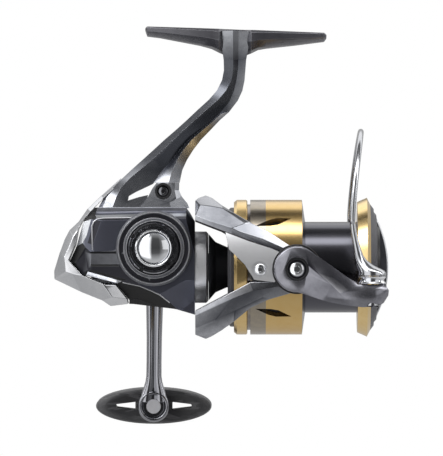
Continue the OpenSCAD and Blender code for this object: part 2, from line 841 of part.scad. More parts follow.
module cover_pin_near() color("#d7dade") cover_pin(-1);
module cover_pin_far() color("#d7dade") cover_pin(1);

module rotor() color("#3b3e46") {
    difference() {
        union() {
            rotor_arms();
            tube_x(drum_back, drum_front, drum_r, drum_r - drum_wall);
            tube_x(drum_back, drum_back + drum_floor_t, drum_r);
            turned([[0, box_front + collar_len + 0.4], [12.6, box_front + collar_len + 0.4],
                    [8.9, -7.3], [7.1, drum_back], [0, drum_back]]);
        }
        tube_x(rotor_back, drum_back + drum_floor_t + cut, pinion_tube_r);
        for (side = [-1, 1]) {
            cover_pin_hole(side, cover_pin_r);
            pivot_hole(side);
        }
    }
}

module rotor_arms() {
    difference() {
        intersection() {
            plate(-arm_out_r, arm_out_r) arm_legs_outline();
            tube_x(rotor_back, pivot_x + 20, arm_out_r);
        }
        tube_x(rotor_back - cut, saddle_front + eps, saddle_in_r);
        tube_x(saddle_front, pivot_x + 21, arm_in_r);
        for (side = [-1, 1]) intersection() {
            cover_zone(side);
            tube_x(rotor_back, pivot_x + 20, arm_out_r + cut, cover_in_r);
        }
        for (side = [-1, 1]) tube_y(pivot_x, pivot_z, side > 0 ? pivot_flat : -arm_out_r - cut,
            side > 0 ? arm_out_r + cut : -pivot_flat, pivot_end_r + 0.6);
    }
}

module pivot_hole(side) {
    tube_y(pivot_x, pivot_z, side > 0 ? arm_in_r - 2 : -arm_out_r, side > 0 ? arm_out_r : 2 - arm_in_r,
           pin_r);
}

module rotor_nut() color("#c2a368") {
    nut_x = drum_back + drum_floor_t;
    difference() {
        on_axis(nut_x) cylinder(h = 4, r = 6.2, $fn = 6);
        tube_x(nut_x - cut, nut_x + 4 + cut, pinion_tube_r);
    }
}

// ---- Bail ----------------------------------------------------------------------------------

// A hinge pin with a wide head, set into the rotor arm
module bail_pin(side) {
    inner = arm_in_r + 0.3;
    seat = swing_y + 1.6;
    head = swing_y + bail_arm_t - 0.4;
    tube_y(pivot_x, pivot_z, side > 0 ? inner : -seat - 0.1, side > 0 ? seat + 0.1 : -inner, pin_r);
    tube_y(pivot_x, pivot_z, side > 0 ? seat + 0.1 : -head, side > 0 ? head : -seat - 0.1, pin_head_r);
}

module bail_pin_near() color("#d7dade") bail_pin(-1);
module bail_pin_far() color("#d7dade") bail_pin(1);

module pin_bore(side) {
    seat = swing_y + 1.6;
    outer = swing_y + bail_arm_t + 8;
    inner = swing_y - 4;
    tube_y(pivot_x, pivot_z, side > 0 ? inner : -outer, side > 0 ? outer : -inner, pin_r + run_gap);
    tube_y(pivot_x, pivot_z, side > 0 ? seat : -outer, side > 0 ? outer : -seat, pin_recess_r);
}

module bail_arm_outline() {
    polygon([[pivot_x, pivot_z + 4], [26.3, 6.9], [29.6, 4.9], [33.5, 1.9], [37.5, -0.7],
             [40.8, -3.3], [roller_x - roller_r - 0.9, -5], [roller_x - roller_r - 0.4, arm_top],
             [roller_x + 5.3, arm_top],
             [roller_x + 6.5, -8.4], [roller_x + 6.4, -10.3], [roller_x + 4.5, -13],
             [roller_x + 2.8, -14.5], [roller_x, -15.1], [roller_x - 3.3, -14.5], [36.9, -14.1],
             [33, -12.6], [28.5, -11.2], [24, -10], [pivot_x - 2, pivot_z - 4]]);
}

module bail_arm() color("#565860") {
    near = -swing_y;
    end_in = roller_y + roller_r - 0.2;
    end_out = roller_y - roller_r + 0.4;
    difference() {
        intersection() {
            union() {
                plate(-wide / 4, 0) bail_arm_outline();
                tube_y(pivot_x, pivot_z, -wide / 4, 0, pivot_end_r);
            }
            // Seen from above: thin at the hinge, thick at the roller
            translate([0, 0, -axis_drop - 30]) linear_extrude(60)
                polygon([[pivot_x - 10, near], [pivot_x + 9.5, near], [pivot_x + 14, end_in],
                         [roller_x + 8, end_in], [roller_x + 8, end_out + 1.5],
                         [roller_x + 3, end_out], [roller_x - 6, end_out + 0.6],
                         [pivot_x + 10, near - bail_arm_t - 0.8], [pivot_x - 10, near - bail_arm_t]]);
        }
        pin_bore(-1);
        roller_hole(1.5);
        translate([roller_x, roller_y, -axis_drop - 16]) cylinder(h = 3.6, r = 3.2);
    }
}

module roller_hole(r) {
    translate([roller_x, roller_y, -axis_drop - 20]) cylinder(h = 30, r = r);
}

module roller_pin() color("#d7dade") {
    translate([roller_x, roller_y, -axis_drop]) {
        translate([0, 0, -12.4]) cylinder(h = roller_top + 12.4 + 0.2, r = 1.5);
        translate([0, 0, -14]) cylinder(h = 1.6, r = 2.9);
    }
}

module roller_bush() color("#c2a368") {
    translate([roller_x, roller_y, -axis_drop + arm_top]) difference() {
        cylinder(h = roller_top + 0.2 - arm_top, r = 2.5);
        translate([0, 0, -cut]) cylinder(h = 9, r = 1.5);
    }
}

module line_roller() color("#d7dade") {
    translate([roller_x, roller_y, -axis_drop]) rotate_extrude()
        polygon([[2.5 + run_gap, roller_bottom], [roller_r - 0.3, roller_bottom],
                 [roller_r, roller_bottom + 0.3], [roller_r - 0.8, roller_bottom + 0.45 * roller_w],
                 [roller_r - 0.8, roller_bottom + 0.55 * roller_w], [roller_r, roller_top - 0.3],
                 [roller_r - 0.3, roller_top], [2.5 + run_gap, roller_top]]);
}

// Where the bail wire leaves the cone: the foot of its near leg
module loop_frame() {
    translate([loop_foot_x, 0, loop_foot_z - axis_drop]) rotate([0, loop_plane, 0]) children();
}

module roller_cone() color("#cfd2d8") {
    base_z = roller_top + 0.2;
    cone_rise = 3.9;
    hull() {
        translate([roller_x, roller_y, base_z - axis_drop]) cylinder(h = 0.6, r = roller_r, $fn = 32);
        translate([roller_x - 1.7, roller_y, base_z + cone_rise - axis_drop]) sphere(r = 3.6, $fn = 24);
    }
    hull() {
        translate([roller_x - 1.7, roller_y, base_z + cone_rise - axis_drop]) sphere(r = 3.6, $fn = 24);
        translate([roller_x - 5.2, roller_y + 0.6, base_z + 10 - axis_drop]) sphere(r = 2, $fn = 24);
    }
    hull() {
        translate([roller_x - 5.2, roller_y + 0.6, base_z + 10 - axis_drop]) sphere(r = 2, $fn = 24);
        loop_frame() translate([0, -loop_half, -0.4]) cylinder(h = 0.4, r = wire_r, $fn = 24);
    }
}

module bail_wire() color("#dfe1e5") {
    leg = (loop_spring_z - loop_foot_z) / cos(loop_plane);
    loop_frame() {
        for (side = [-1, 1]) translate([0, side * loop_half, 0]) cylinder(h = leg, r = wire_r);
        translate([0, 0, leg]) rotate([90, 0, 90]) rotate_extrude(angle = 180, $fn = 96)
            translate([loop_half, 0]) circle(r = wire_r, $fn = 32);
    }
}

// The far end of the wire bends back to the lever at the hinge
module wire_tail() color("#dfe1e5") {
    loop_frame() translate([-far_bend_r, loop_half, 0]) rotate([90, 0, 0])
        rotate([0, 0, -far_turn]) rotate_extrude(angle = far_turn, $fn = 96)
            translate([far_bend_r, 0]) circle(r = wire_r, $fn = 32);
}

module bail_lever() color("#565860") {
    difference() {
        union() {
            tube_y(pivot_x, pivot_z, swing_y, swing_y + bail_arm_t, 7);
            intersection() {
                plate(swing_y, swing_y + bail_arm_t + 1) translate([far_end_x, far_end_z])
                    rotate([0, 0, 180 + far_lever_rise]) translate([0, -2.6])
                        square([13, 5.2]);
                plate(swing_y, swing_y + bail_arm_t) translate([pivot_x, pivot_z]) circle(r = 30);
            }
        }
        pin_bore(1);
    }
}

// ---- Spool ---------------------------------------------------------------------------------

module spool() color("#c9a45c") {
    difference() {
        turned([[bearing_r + run_gap, hub_back], [hub_r, hub_back], [hub_r, pocket_floor - 2.5],
                [barrel_r - barrel_wall, pocket_floor - 2.5], [barrel_r - barrel_wall, web_back],
                [skirt_in_r, web_back], [skirt_in_r, skirt_back], [spigot_r, skirt_back],
                [spigot_r, skirt_body_x], [skirt_r, skirt_body_x], [skirt_r, barrel_back - 1.2],
                [barrel_r, barrel_back], [barrel_r, barrel_front + 1.2],
                [lip_seat_r, barrel_front + 1.2], [lip_seat_r, lip_front], [recess_r, lip_front],
                [recess_r, recess_floor], [pocket_r, recess_floor], [pocket_r, pocket_floor],
                [bearing_r + run_gap, pocket_floor]]);
        for (a = slot_angles) skirt_slot(a);
    }
}

// A spindle-shaped slot through the skirt, slanted towards its neighbour
module skirt_slot(a) {
    slant = (a < 90 || (a > 180 && a < 270)) ? -slot_slant : slot_slant;
    on_axis(skirt_body_x + 8.5) rotate([0, 0, a + 90]) translate([skirt_in_r - cut, 0, 0])
        rotate([0, 90, 0]) rotate([0, 0, slant]) linear_extrude(skirt_wall + 3 * cut)
            polygon([[-7, 0], [-1.5, -1.7], [1.5, -1.5], [7, 0], [1.5, 1.5], [-1.5, 1.7]]);
}

module spool_rear_ring() color("#a88a4a") {
    turned([[spigot_r, skirt_back], [skirt_r - 0.9, skirt_back], [skirt_r, skirt_back + 1.1],
            [skirt_r, skirt_groove_x - 0.4], [skirt_r - 0.4, skirt_groove_x], [spigot_r, skirt_groove_x]]);
}

module spool_lip() color("#d8b876") {
    turned([[barrel_r + 0.1, barrel_front], [lip_r - 1.6, barrel_front], [lip_r, lip_front - 1.2],
            [lip_r - 2.4, lip_front], [lip_seat_r, lip_front], [lip_seat_r, barrel_front + 1.2],
            [barrel_r + 0.1, barrel_front + 1.2]]);
}

module lip_clamp() color("#242427") {
    turned([[recess_r, lip_front], [lip_r - 2.4, lip_front], [recess_r + 0.7, knob_seat],
            [recess_r, knob_seat]]);
}

module spool_seat() color("#8d8f94") {
    tube_x(shaft_step, hub_back - 1.8, 6.5, shaft_front_r);
}

module spool_bearing() color("#b5b8bd") {
    tube_x(hub_back + 1, hub_back + 12, bearing_r, shaft_front_r);
}

module click_gear() color("#e4e4e6") {
    on_axis(hub_back - 1.4) linear_extrude(1.4) difference() {
        toothed(40, 11, 10.2);
        circle(r = bearing_r + run_gap);
    }
}

module drag_washers() color("#3a3a3a") {
    stack = 6;
    t = 1.3;
    for (i = [0:stack - 1]) tube_x(pocket_floor + 0.2 + i * t, pocket_floor + 0.2 + (i + 1) * t,
        pocket_r - (i % 2 == 0 ? 0.4 : 0.9), shaft_front_r);
}

module drag_retainer() color("#c9ccd1") {
    tube_x(pocket_floor + 8.6, pocket_floor + 9.4, pocket_r, pocket_r - 1.4);
}

module drag_nut() color("#c2a368") {
    nut_back = knob_seat - 6;
    difference() {
        on_axis(nut_back) cylinder(h = 5, r = 5, $fn = 6);
        tube_x(nut_back - cut, nut_back + 5 + cut, shaft_front_r + run_gap);
    }
}

// Outline of the grip across the drag knob's face
module grip_outline(inset = 0) {
    intersection() {
        translate([knob_nose - grip_arc, 0]) circle(r = grip_arc - inset, $fn = 160);
        translate([knob_seat, -knob_r]) square([2 * grip_height, 2 * knob_r]);
    }
}

module drag_knob() color("#17171a") {
    knob_back = recess_floor + 0.6;
    difference() {
        union() {
            turned([[0, knob_seat - 6], [7, knob_seat - 6], [7, knob_seat - 1.6],
                    [knob_r - 1.5, knob_seat - 1.6], [knob_r - 1.5, knob_back], [knob_r, knob_back],
                    [knob_r, knob_seat], [knob_r - 1.2, knob_seat + 1], [knob_r - 5, knob_seat + 1.4],
                    [knob_r - 5.6, knob_seat + 2.2], [0, knob_seat + 2.2]]);
            plate(-grip_half_w, grip_half_w) grip_outline(0.9);
        }
        on_axis(knob_seat - 6 - cut) cylinder(h = 5 + cut, r = 5, $fn = 6);
        tube_x(knob_seat - 7, shaft_end + 0.3, shaft_front_r + run_gap);
        plate(-trim_half_w, trim_half_w) difference() {
            grip_outline();
            grip_outline(trim_depth);
        }
    }
}

module drag_knob_trim() color("#b9bcc2") {
    plate(-trim_half_w, trim_half_w) difference() {
        grip_outline();
        grip_outline(trim_depth);
        translate([knob_seat - 1, -knob_r - 1]) square([3.4, 2 * knob_r + 2]);
    }
}

body_frame();
leg_cover();
side_cover();
rear_guard();
cover_screw();
boss_ring();
side_cap();
clutch_collar();
clutch_cage();
clutch_sleeve();
pinion_bearing();
pinion_bush();
pinion();
drive_gear();
drive_bearing_near();
drive_bearing_far();
handle_shaft();
handle_arm();
eye_cap();
knob_post();
knob_bearing();
handle_knob();
knob_end_cap();
main_shaft();
slider();
slider_pawl();
guide_rod();
worm_shaft();
rotor();
rotor_nut();
arm_cover_near();
arm_cover_far();
cover_pin_near();
cover_pin_far();
bail_arm();
bail_pin_near();
bail_lever();
bail_pin_far();
bail_wire();
wire_tail();
roller_cone();
line_roller();
roller_bush();
roller_pin();
spool();
spool_rear_ring();
spool_lip();
lip_clamp();
spool_seat();
spool_bearing();
click_gear();
drag_washers();
drag_retainer();
drag_nut();
drag_knob();
drag_knob_trim();
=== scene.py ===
# %% [markdown]
# # A spinning reel, from its frame to its finish
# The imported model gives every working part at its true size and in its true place. This lesson
# dresses it: shells that carry the styling are rebuilt as faceted meshes that stand for the plain
# parts, and everything else keeps its own mesh and gets a real finish.

# %% Load the frame
import math

import bmesh
import bpy
from mathutils import Matrix, Vector


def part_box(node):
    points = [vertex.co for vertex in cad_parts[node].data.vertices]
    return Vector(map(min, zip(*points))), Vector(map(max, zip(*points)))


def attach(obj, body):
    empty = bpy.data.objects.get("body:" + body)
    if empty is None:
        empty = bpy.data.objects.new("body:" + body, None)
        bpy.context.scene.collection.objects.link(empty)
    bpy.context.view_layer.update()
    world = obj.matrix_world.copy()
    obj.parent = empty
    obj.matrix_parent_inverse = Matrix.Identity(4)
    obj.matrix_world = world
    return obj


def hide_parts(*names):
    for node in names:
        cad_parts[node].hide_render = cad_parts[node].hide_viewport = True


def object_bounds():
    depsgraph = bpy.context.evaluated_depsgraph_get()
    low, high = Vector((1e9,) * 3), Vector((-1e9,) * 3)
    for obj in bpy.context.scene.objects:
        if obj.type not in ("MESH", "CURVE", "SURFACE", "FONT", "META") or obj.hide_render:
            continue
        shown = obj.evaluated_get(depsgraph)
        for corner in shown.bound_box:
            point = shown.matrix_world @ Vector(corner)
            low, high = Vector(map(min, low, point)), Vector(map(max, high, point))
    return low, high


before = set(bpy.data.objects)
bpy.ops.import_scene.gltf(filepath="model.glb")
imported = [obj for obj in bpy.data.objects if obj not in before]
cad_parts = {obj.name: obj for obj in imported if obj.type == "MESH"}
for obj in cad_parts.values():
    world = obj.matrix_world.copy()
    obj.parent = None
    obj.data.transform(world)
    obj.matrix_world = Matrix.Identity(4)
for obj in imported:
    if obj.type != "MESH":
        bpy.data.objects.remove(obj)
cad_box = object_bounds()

# %% [markdown]
# A reel is laid out from two lines: the spool axis, which everything turns about, and the crank
# axis through the gearbox. Both are read off the parts that lie on them, so an outline drawn in
# millimetres from the spool axis lands where the parts are.

# %% Datum lines
MM = 0.001


def middle(node):
    low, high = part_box(node)
    return (low + high) / 2


axis_z = middle("spool").z
crank = middle("side_cap")
hinge = middle("bail_pin_near")
roller = middle("line_roller")
knob_centre = middle("handle_knob")


def at(x, z, y=0.0):
    """A point in millimetres: x along the spool axis, z above it, y towards the handle side."""
    return Vector((x * MM, y * MM, axis_z + z * MM))


print("spool axis at", round(axis_z / MM, 1), "mm, crank at", [round(v / MM, 1) for v in crank])

# %% [markdown]
# ## Tools for the shells
# The reel's shells are cast and painted metal: flat facets that meet in crisp lines. Sculpting
# or subdividing would soften them. So each shell is drawn as facets over named corner points,
# with a depth at each point. The sheet is mirrored or backed by a plane, walls close it, and a
# small bevel gives every crease the thin highlight of a painted edge.

# %% A closed solid from facets
def relief(corners, facets, back=None, side=-1, far_depth=None):
    """corners: name -> (x, z, depth). facets: ("name name name", finish number)."""
    bm = bmesh.new()
    near, far = {}, {}
    for name, (x, z, depth) in corners.items():
        near[name] = bm.verts.new(at(x, z, side * depth))
        if far_depth is not None:
            y = side * far_depth(x, z)
        else:
            y = -side * depth if back is None else back
        far[name] = bm.verts.new(at(x, z, y))
    sheet = []
    for names, finish in facets:
        loop = names.split()
        face = bm.faces.new([near[n] for n in loop])
        face.material_index = finish
        sheet.append((face, loop, finish))
    rim = [(e, e.link_faces[0].material_index) for e in bm.edges if len(e.link_faces) == 1]
    partner = {near[n]: far[n] for n in near}
    for face, loop, finish in sheet:
        bm.faces.new([far[n] for n in reversed(loop)]).material_index = finish
    for edge, finish in rim:
        a, b = edge.verts
        bm.faces.new([a, b, partner[b], partner[a]]).material_index = finish
    loose = [v for v in bm.verts if not v.link_faces]
    bmesh.ops.delete(bm, geom=loose, context="VERTS")
    bmesh.ops.remove_doubles(bm, verts=bm.verts, dist=0.01 * MM)
    return bm


def line(prefix, *points):
    return {f"{prefix}{i}": p for i, p in enumerate(points)}


def strip(a, b, first, last, finish=0):
    return [(f"{a}{i} {b}{i} {b}{i + 1} {a}{i + 1}", finish) for i in range(first, last)]


# %% [markdown]
# Rods, arms and feet change section along their length, so they are lofts: a row of rings with
# the same number of corners, joined by quads and closed at both ends.

# %% Lofts
def loft(rings):
    bm = bmesh.new()
    rows = [[bm.verts.new(p) for p in ring] for ring in rings]
    count = len(rows[0])
    for a, b in zip(rows, rows[1:]):
        for i in range(count):
            j = (i + 1) % count
            bm.faces.new((a[i], a[j], b[j], b[i]))
    bm.faces.new(rows[0])
    bm.faces.new(rows[-1][::-1])
    return bm


# %% [markdown]
# Rings, bosses, caps and screw heads are turned, so they are lathed: a closed profile goes round
# an axis. Corners that lie on the axis would give faces of no area, so those are left out.


# %% Turned parts
def lathe(profile, centre, axis="Y", steps=96):
    """Turns a closed profile of (radius, distance along the axis) in millimetres."""
    bm = bmesh.new()
    rows = []
    for i in range(steps):
        a = 2 * math.pi * i / steps
        row = []
        for r, d in profile:
            u, v = r * math.cos(a), r * math.sin(a)
            offset = {"X": (d, u, v), "Y": (v, d, u), "Z": (u, v, d)}[axis]
            row.append(bm.verts.new(centre + Vector(offset) * MM))
        rows.append(row)
    count = len(profile)
    for i in range(steps):
        a, b = rows[i], rows[(i + 1) % steps]
        for k in range(count):
            m = (k + 1) % count
            if profile[k][0] == 0 and profile[m][0] == 0:
                continue
            bm.faces.new((a[k], a[m], b[m], b[k]))
    bmesh.ops.remove_doubles(bm, verts=bm.verts, dist=0.001 * MM)
    bmesh.ops.dissolve_degenerate(bm, edges=bm.edges, dist=0.0001 * MM)
    return bm


# %% [markdown]
# Wire and bright trim are tubes: a circle carried along a row of points. Solids that belong to
# one piece are merged into one mesh without being fused, because they only need to overlap.


# %% Tubes and merged solids
def tube(points, radius, sides=20):
    """Sweeps a circle along points, turning it as little as possible from one to the next."""
    rings, normal = [], None
    for i, p in enumerate(points):
        ahead = points[min(i + 1, len(points) - 1)] - points[max(i - 1, 0)]
        ahead.normalize()
        if normal is None:
            normal = ahead.orthogonal()
        normal = (normal - ahead * normal.dot(ahead)).normalized()
        across = ahead.cross(normal)
        rings.append([p + (normal * math.cos(a) + across * math.sin(a)) * radius * MM
                      for a in (2 * math.pi * k / sides for k in range(sides))])
    return loft(rings)


def merge(*parts):
    """Several closed solids in one mesh."""
    whole = parts[0]
    for part in parts[1:]:
        spare = bpy.data.meshes.new("spare")
        part.to_mesh(spare)
        part.free()
        whole.from_mesh(spare)
        bpy.data.meshes.remove(spare)
    return whole


# %% [markdown]
# A finished mesh becomes a piece: creases sharper than a limit stay crisp, gentler ones shade
# smoothly, and the bevel only touches the crisp ones. Recesses for screws are cut with an exact
# boolean before the bevel, so the rim of the recess gets its highlight too.

# %% Cutting and finishing a piece
def as_object(bm, name):
    bmesh.ops.recalc_face_normals(bm, faces=bm.faces)
    mesh = bpy.data.meshes.new(name)
    bm.to_mesh(mesh)
    bm.free()
    thing = bpy.data.objects.new(name, mesh)
    bpy.context.scene.collection.objects.link(thing)
    return thing


def carve(bm, *tools):
    """The solid bm with the tools cut out of it."""
    base = as_object(bm, "carved")
    knives = [as_object(tool, "knife") for tool in tools]
    for knife in knives:
        step = base.modifiers.new("cut", "BOOLEAN")
        step.operation, step.object, step.solver = "DIFFERENCE", knife, "EXACT"
    bpy.context.view_layer.update()
    result = bmesh.new()
    result.from_object(base, bpy.context.evaluated_depsgraph_get())
    for thing in [base, *knives]:
        mesh = thing.data
        bpy.data.objects.remove(thing)
        bpy.data.meshes.remove(mesh)
    return result


def round_edges(thing, width, limit, segments=2):
    """A bevel of width millimetres on every edge that turns by more than limit."""
    edge_round = thing.modifiers.new("edges", "BEVEL")
    edge_round.width, edge_round.segments = width * MM, segments
    edge_round.limit_method, edge_round.angle_limit = "ANGLE", limit
    edge_round.harden_normals = True


def piece(name, bm, body, finishes, replaces=(), bevel=0.3, crisp=22, segments=2):
    """Makes a mesh into a piece that rides on a body. bevel in millimetres, crisp in degrees."""
    limit = math.radians(crisp)
    for face in bm.faces:
        face.smooth = True
    for edge in bm.edges:
        edge.smooth = len(edge.link_faces) == 2 and edge.calc_face_angle(0) < limit
    thing = as_object(bm, name)
    for paint in finishes:
        thing.data.materials.append(paint)
    if bevel:
        round_edges(thing, bevel, limit, segments)
    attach(thing, body)
    if replaces:
        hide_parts(*replaces)
    print(name, len(thing.data.polygons), "faces")


# %% [markdown]
# ## Shared surface effects
# Three effects come back in many finishes, so each is one node group, built once and placed in
# every material that needs it with its own values. First comes a small helper that makes an
# empty group with named sockets, and one that adds a node with its settings and links.

# %% Building a node group
def group(name, inputs, outputs):
    tree = bpy.data.node_groups.new(name, "ShaderNodeTree")
    for label, kind, value in inputs:
        socket = tree.interface.new_socket(label, in_out="INPUT", socket_type=kind)
        socket.default_value = value
    for label, kind in outputs:
        tree.interface.new_socket(label, in_out="OUTPUT", socket_type=kind)
    return tree, tree.nodes.new("NodeGroupInput"), tree.nodes.new("NodeGroupOutput")


def node(tree, kind, links=None, **settings):
    made = tree.nodes.new(kind)
    for key, value in settings.items():
        if key.startswith("in_"):
            made.inputs[int(key[3:])].default_value = value
        else:
            setattr(made, key, value)
    for socket, source in (links or {}).items():
        tree.links.new(source, made.inputs[socket])
    return made


FLOAT, COLOUR, VECTOR = "NodeSocketFloat", "NodeSocketColor", "NodeSocketVector"

# %% [markdown]
# Convex edges get a paler colour. Part of it is paint and plating thinned where a hand rubs,
# and part is a painted highlight: the thin bright line that a lit edge shows. The Pointiness of
# the surface finds those edges without any painting by hand, and a coarse noise breaks the line
# up so that it doesn't look drawn.

# %% Edge wear
CONVEX_FROM, CONVEX_TO = 0.505, 0.54

# The edge colour is partly a rubbed finish and partly a painted highlight on every convex edge.
wear_and_highlight, wear_and_highlight_in, wear_and_highlight_out = group(
    "Edge wear",
    [("Colour", COLOUR, (0.1, 0.1, 0.1, 1)), ("Edge colour", COLOUR, (0.5, 0.5, 0.5, 1)),
     ("Amount", FLOAT, 0.5), ("Breakup scale", FLOAT, 400.0)],
    [("Colour", COLOUR), ("Mask", FLOAT)],
)
shape = node(wear_and_highlight, "ShaderNodeNewGeometry")
convex = node(wear_and_highlight, "ShaderNodeMapRange", {0: shape.outputs["Pointiness"]}, in_1=CONVEX_FROM,
              in_2=CONVEX_TO)
place = node(wear_and_highlight, "ShaderNodeTexCoord")
broken = node(wear_and_highlight, "ShaderNodeTexNoise",
              {0: place.outputs["Object"], "Scale": wear_and_highlight_in.outputs["Breakup scale"]})
some = node(wear_and_highlight, "ShaderNodeMapRange", {0: broken.outputs["Fac"]}, in_1=0.3, in_2=0.6,
            in_3=0.8, in_4=1.0)
edge = node(wear_and_highlight, "ShaderNodeMath", {0: convex.outputs[0], 1: some.outputs[0]},
            operation="MULTIPLY")
amount = node(wear_and_highlight, "ShaderNodeMath", {0: edge.outputs[0], 1: wear_and_highlight_in.outputs["Amount"]},
              operation="MULTIPLY", use_clamp=True)
worn_and_highlighted = node(wear_and_highlight, "ShaderNodeMix", {0: amount.outputs[0], 6: wear_and_highlight_in.outputs["Colour"],
            7: wear_and_highlight_in.outputs["Edge colour"]}, data_type="RGBA")
wear_and_highlight.links.new(worn_and_highlighted.outputs[2], wear_and_highlight_out.inputs["Colour"])
wear_and_highlight.links.new(amount.outputs[0], wear_and_highlight_out.inputs["Mask"])
print("edge wear group ready")

# %% [markdown]
# Grain is fine noise that shifts colour, roughness and height a little, with slow clouds over
# it. Stretched along one axis, the same noise becomes the lines of a turned or brushed part.

# %% Grain and brushing
BASE_SHADE = 0.94

grain, grain_in, grain_out = group(
    "Grain",
    [("Colour", COLOUR, (0.5, 0.5, 0.5, 1)), ("Roughness", FLOAT, 0.3), ("Scale", FLOAT, 900.0),
     ("Spread", FLOAT, 0.1), ("Shade", FLOAT, 0.12), ("Stretch", VECTOR, (1.0, 1.0, 1.0))],
    [("Colour", COLOUR), ("Roughness", FLOAT), ("Height", FLOAT)],
)
place = node(grain, "ShaderNodeTexCoord")
drawn = node(grain, "ShaderNodeVectorMath",
             {0: place.outputs["Object"], 1: grain_in.outputs["Stretch"]}, operation="MULTIPLY")
fine = node(grain, "ShaderNodeTexNoise",
            {0: drawn.outputs[0], "Scale": grain_in.outputs["Scale"]}, in_3=3.0)
cloud = node(grain, "ShaderNodeTexNoise", {0: place.outputs["Object"]}, in_2=45.0, in_3=2.0)
signed = node(grain, "ShaderNodeMath", {0: fine.outputs["Fac"]}, operation="SUBTRACT", in_1=0.5)
spread = node(grain, "ShaderNodeMath", {0: signed.outputs[0], 1: grain_in.outputs["Spread"],
              2: grain_in.outputs["Roughness"]}, operation="MULTIPLY_ADD", use_clamp=True)
both = node(grain, "ShaderNodeMath", {0: signed.outputs[0], 1: cloud.outputs["Fac"]},
            operation="ADD")
shade = node(grain, "ShaderNodeMath", {0: both.outputs[0], 1: grain_in.outputs["Shade"]},
             operation="MULTIPLY")
factor = node(grain, "ShaderNodeMath", {0: shade.outputs[0]}, operation="ADD",
              in_1=BASE_SHADE)
tinted = node(grain, "ShaderNodeVectorMath",
              {0: grain_in.outputs["Colour"], 3: factor.outputs[0]}, operation="SCALE")
grain.links.new(tinted.outputs[0], grain_out.inputs["Colour"])
grain.links.new(spread.outputs[0], grain_out.inputs["Roughness"])
grain.links.new(fine.outputs["Fac"], grain_out.inputs["Height"])
print("grain group ready")

# %% [markdown]
# Some parts change coating half way along. A zone turns the place along an axis into a mask that
# rises from 0 to 1 between two positions, so one mesh can carry several coatings.

# %% Zones along an axis
zone, zone_in, zone_out = group(
    "Zone",
    [("Direction", VECTOR, (1.0, 0.0, 0.0)), ("Start", FLOAT, 0.0), ("End", FLOAT, 1.0)],
    [("Mask", FLOAT)],
)
place = node(zone, "ShaderNodeTexCoord")
along = node(zone, "ShaderNodeVectorMath",
             {0: place.outputs["Object"], 1: zone_in.outputs["Direction"]},
             operation="DOT_PRODUCT")
mask = node(zone, "ShaderNodeMapRange", {0: along.outputs["Value"], 1: zone_in.outputs["Start"],
            2: zone_in.outputs["End"]})
zone.links.new(mask.outputs[0], zone_out.inputs["Mask"])
print("zone group ready")

# %% [markdown]
# ## Finishes
# Almost everything on a reel is metal, so one function builds a metal or a painted finish from
# its base colour, gloss and grain. Numbers that are even over the whole surface sit on the
# shader itself, and only what varies comes through the groups.

# %% One finish
def rgb(red, green, blue):
    return (*[(c / 255) ** 2.2 for c in (red, green, blue)], 1.0)


def finish(name, colour, roughness, metallic=1.0, edge=None, wear_and_highlight_amount=0.6, scale=900.0,
           spread=0.03, shade=0.05, stretch=(1, 1, 1), bump=0.006, coat=0.0, zones=()):
    material = bpy.data.materials.new(name)
    material.use_nodes = True
    tree = material.node_tree
    shader = tree.nodes["Principled BSDF"]
    shader.inputs["Metallic"].default_value = metallic
    shader.inputs["Coat Weight"].default_value = coat
    shader.inputs["Coat Roughness"].default_value = 0.08
    base = node(tree, "ShaderNodeRGB")
    base.outputs[0].default_value = colour
    current = base.outputs[0]
    for direction, start, end, other in zones:
        span = node(tree, "ShaderNodeGroup", node_tree=zone)
        span.inputs["Direction"].default_value = direction
        span.inputs["Start"].default_value = start * MM
        span.inputs["End"].default_value = end * MM
        mixed = node(tree, "ShaderNodeMix", {0: span.outputs["Mask"], 6: current},
                     data_type="RGBA", in_7=other)
        current = mixed.outputs[2]
    # The paler edge colour goes on convex edges: a rubbed finish, and a painted highlight.
    if edge is not None:
        worn_and_highlighted = node(tree, "ShaderNodeGroup", {}, node_tree=wear_and_highlight)
        tree.links.new(current, worn_and_highlighted.inputs["Colour"])
        worn_and_highlighted.inputs["Edge colour"].default_value = edge
        worn_and_highlighted.inputs["Amount"].default_value = wear_and_highlight_amount
        current = worn_and_highlighted.outputs["Colour"]
    texture = node(tree, "ShaderNodeGroup", node_tree=grain)
    tree.links.new(current, texture.inputs["Colour"])
    for label, value in (("Roughness", roughness), ("Scale", scale), ("Spread", spread),
                         ("Shade", shade), ("Stretch", stretch)):
        texture.inputs[label].default_value = value
    tree.links.new(texture.outputs["Colour"], shader.inputs["Base Color"])
    tree.links.new(texture.outputs["Roughness"], shader.inputs["Roughness"])
    if bump:
        raised = node(tree, "ShaderNodeBump", {"Height": texture.outputs["Height"]})
        raised.inputs["Strength"].default_value = bump
        raised.inputs["Distance"].default_value = 0.05 * MM
        tree.links.new(raised.outputs[0], shader.inputs["Normal"])
    return material


# %% [markdown]
# Painted alloy is modelled as a dark metal under a thin coat, plastics and rubber as rough
# non-metals. The paler last colour shows on convex edges, as a rubbed finish and as a painted
# highlight.

# %% Paints and plastics
frame_paint = finish("frame_paint", rgb(84, 87, 95), 0.2, 0.9, rgb(190, 192, 198), 0.8,
                     coat=0.35)
foot_paint = finish("foot_paint", rgb(52, 51, 57), 0.26, 0.6, rgb(150, 150, 156), 0.6, coat=0.3)
cover_paint = finish("cover_paint", rgb(98, 100, 112), 0.3, 0.8, rgb(190, 192, 200), 0.9,
                     coat=0.25)
shade_paint = finish("shade_paint", rgb(52, 52, 58), 0.36, 0.6, rgb(150, 152, 158), 0.8)
rotor_paint = finish("rotor_paint", rgb(58, 60, 68), 0.15, 0.9, rgb(190, 192, 198), 0.8,
                     coat=0.3)
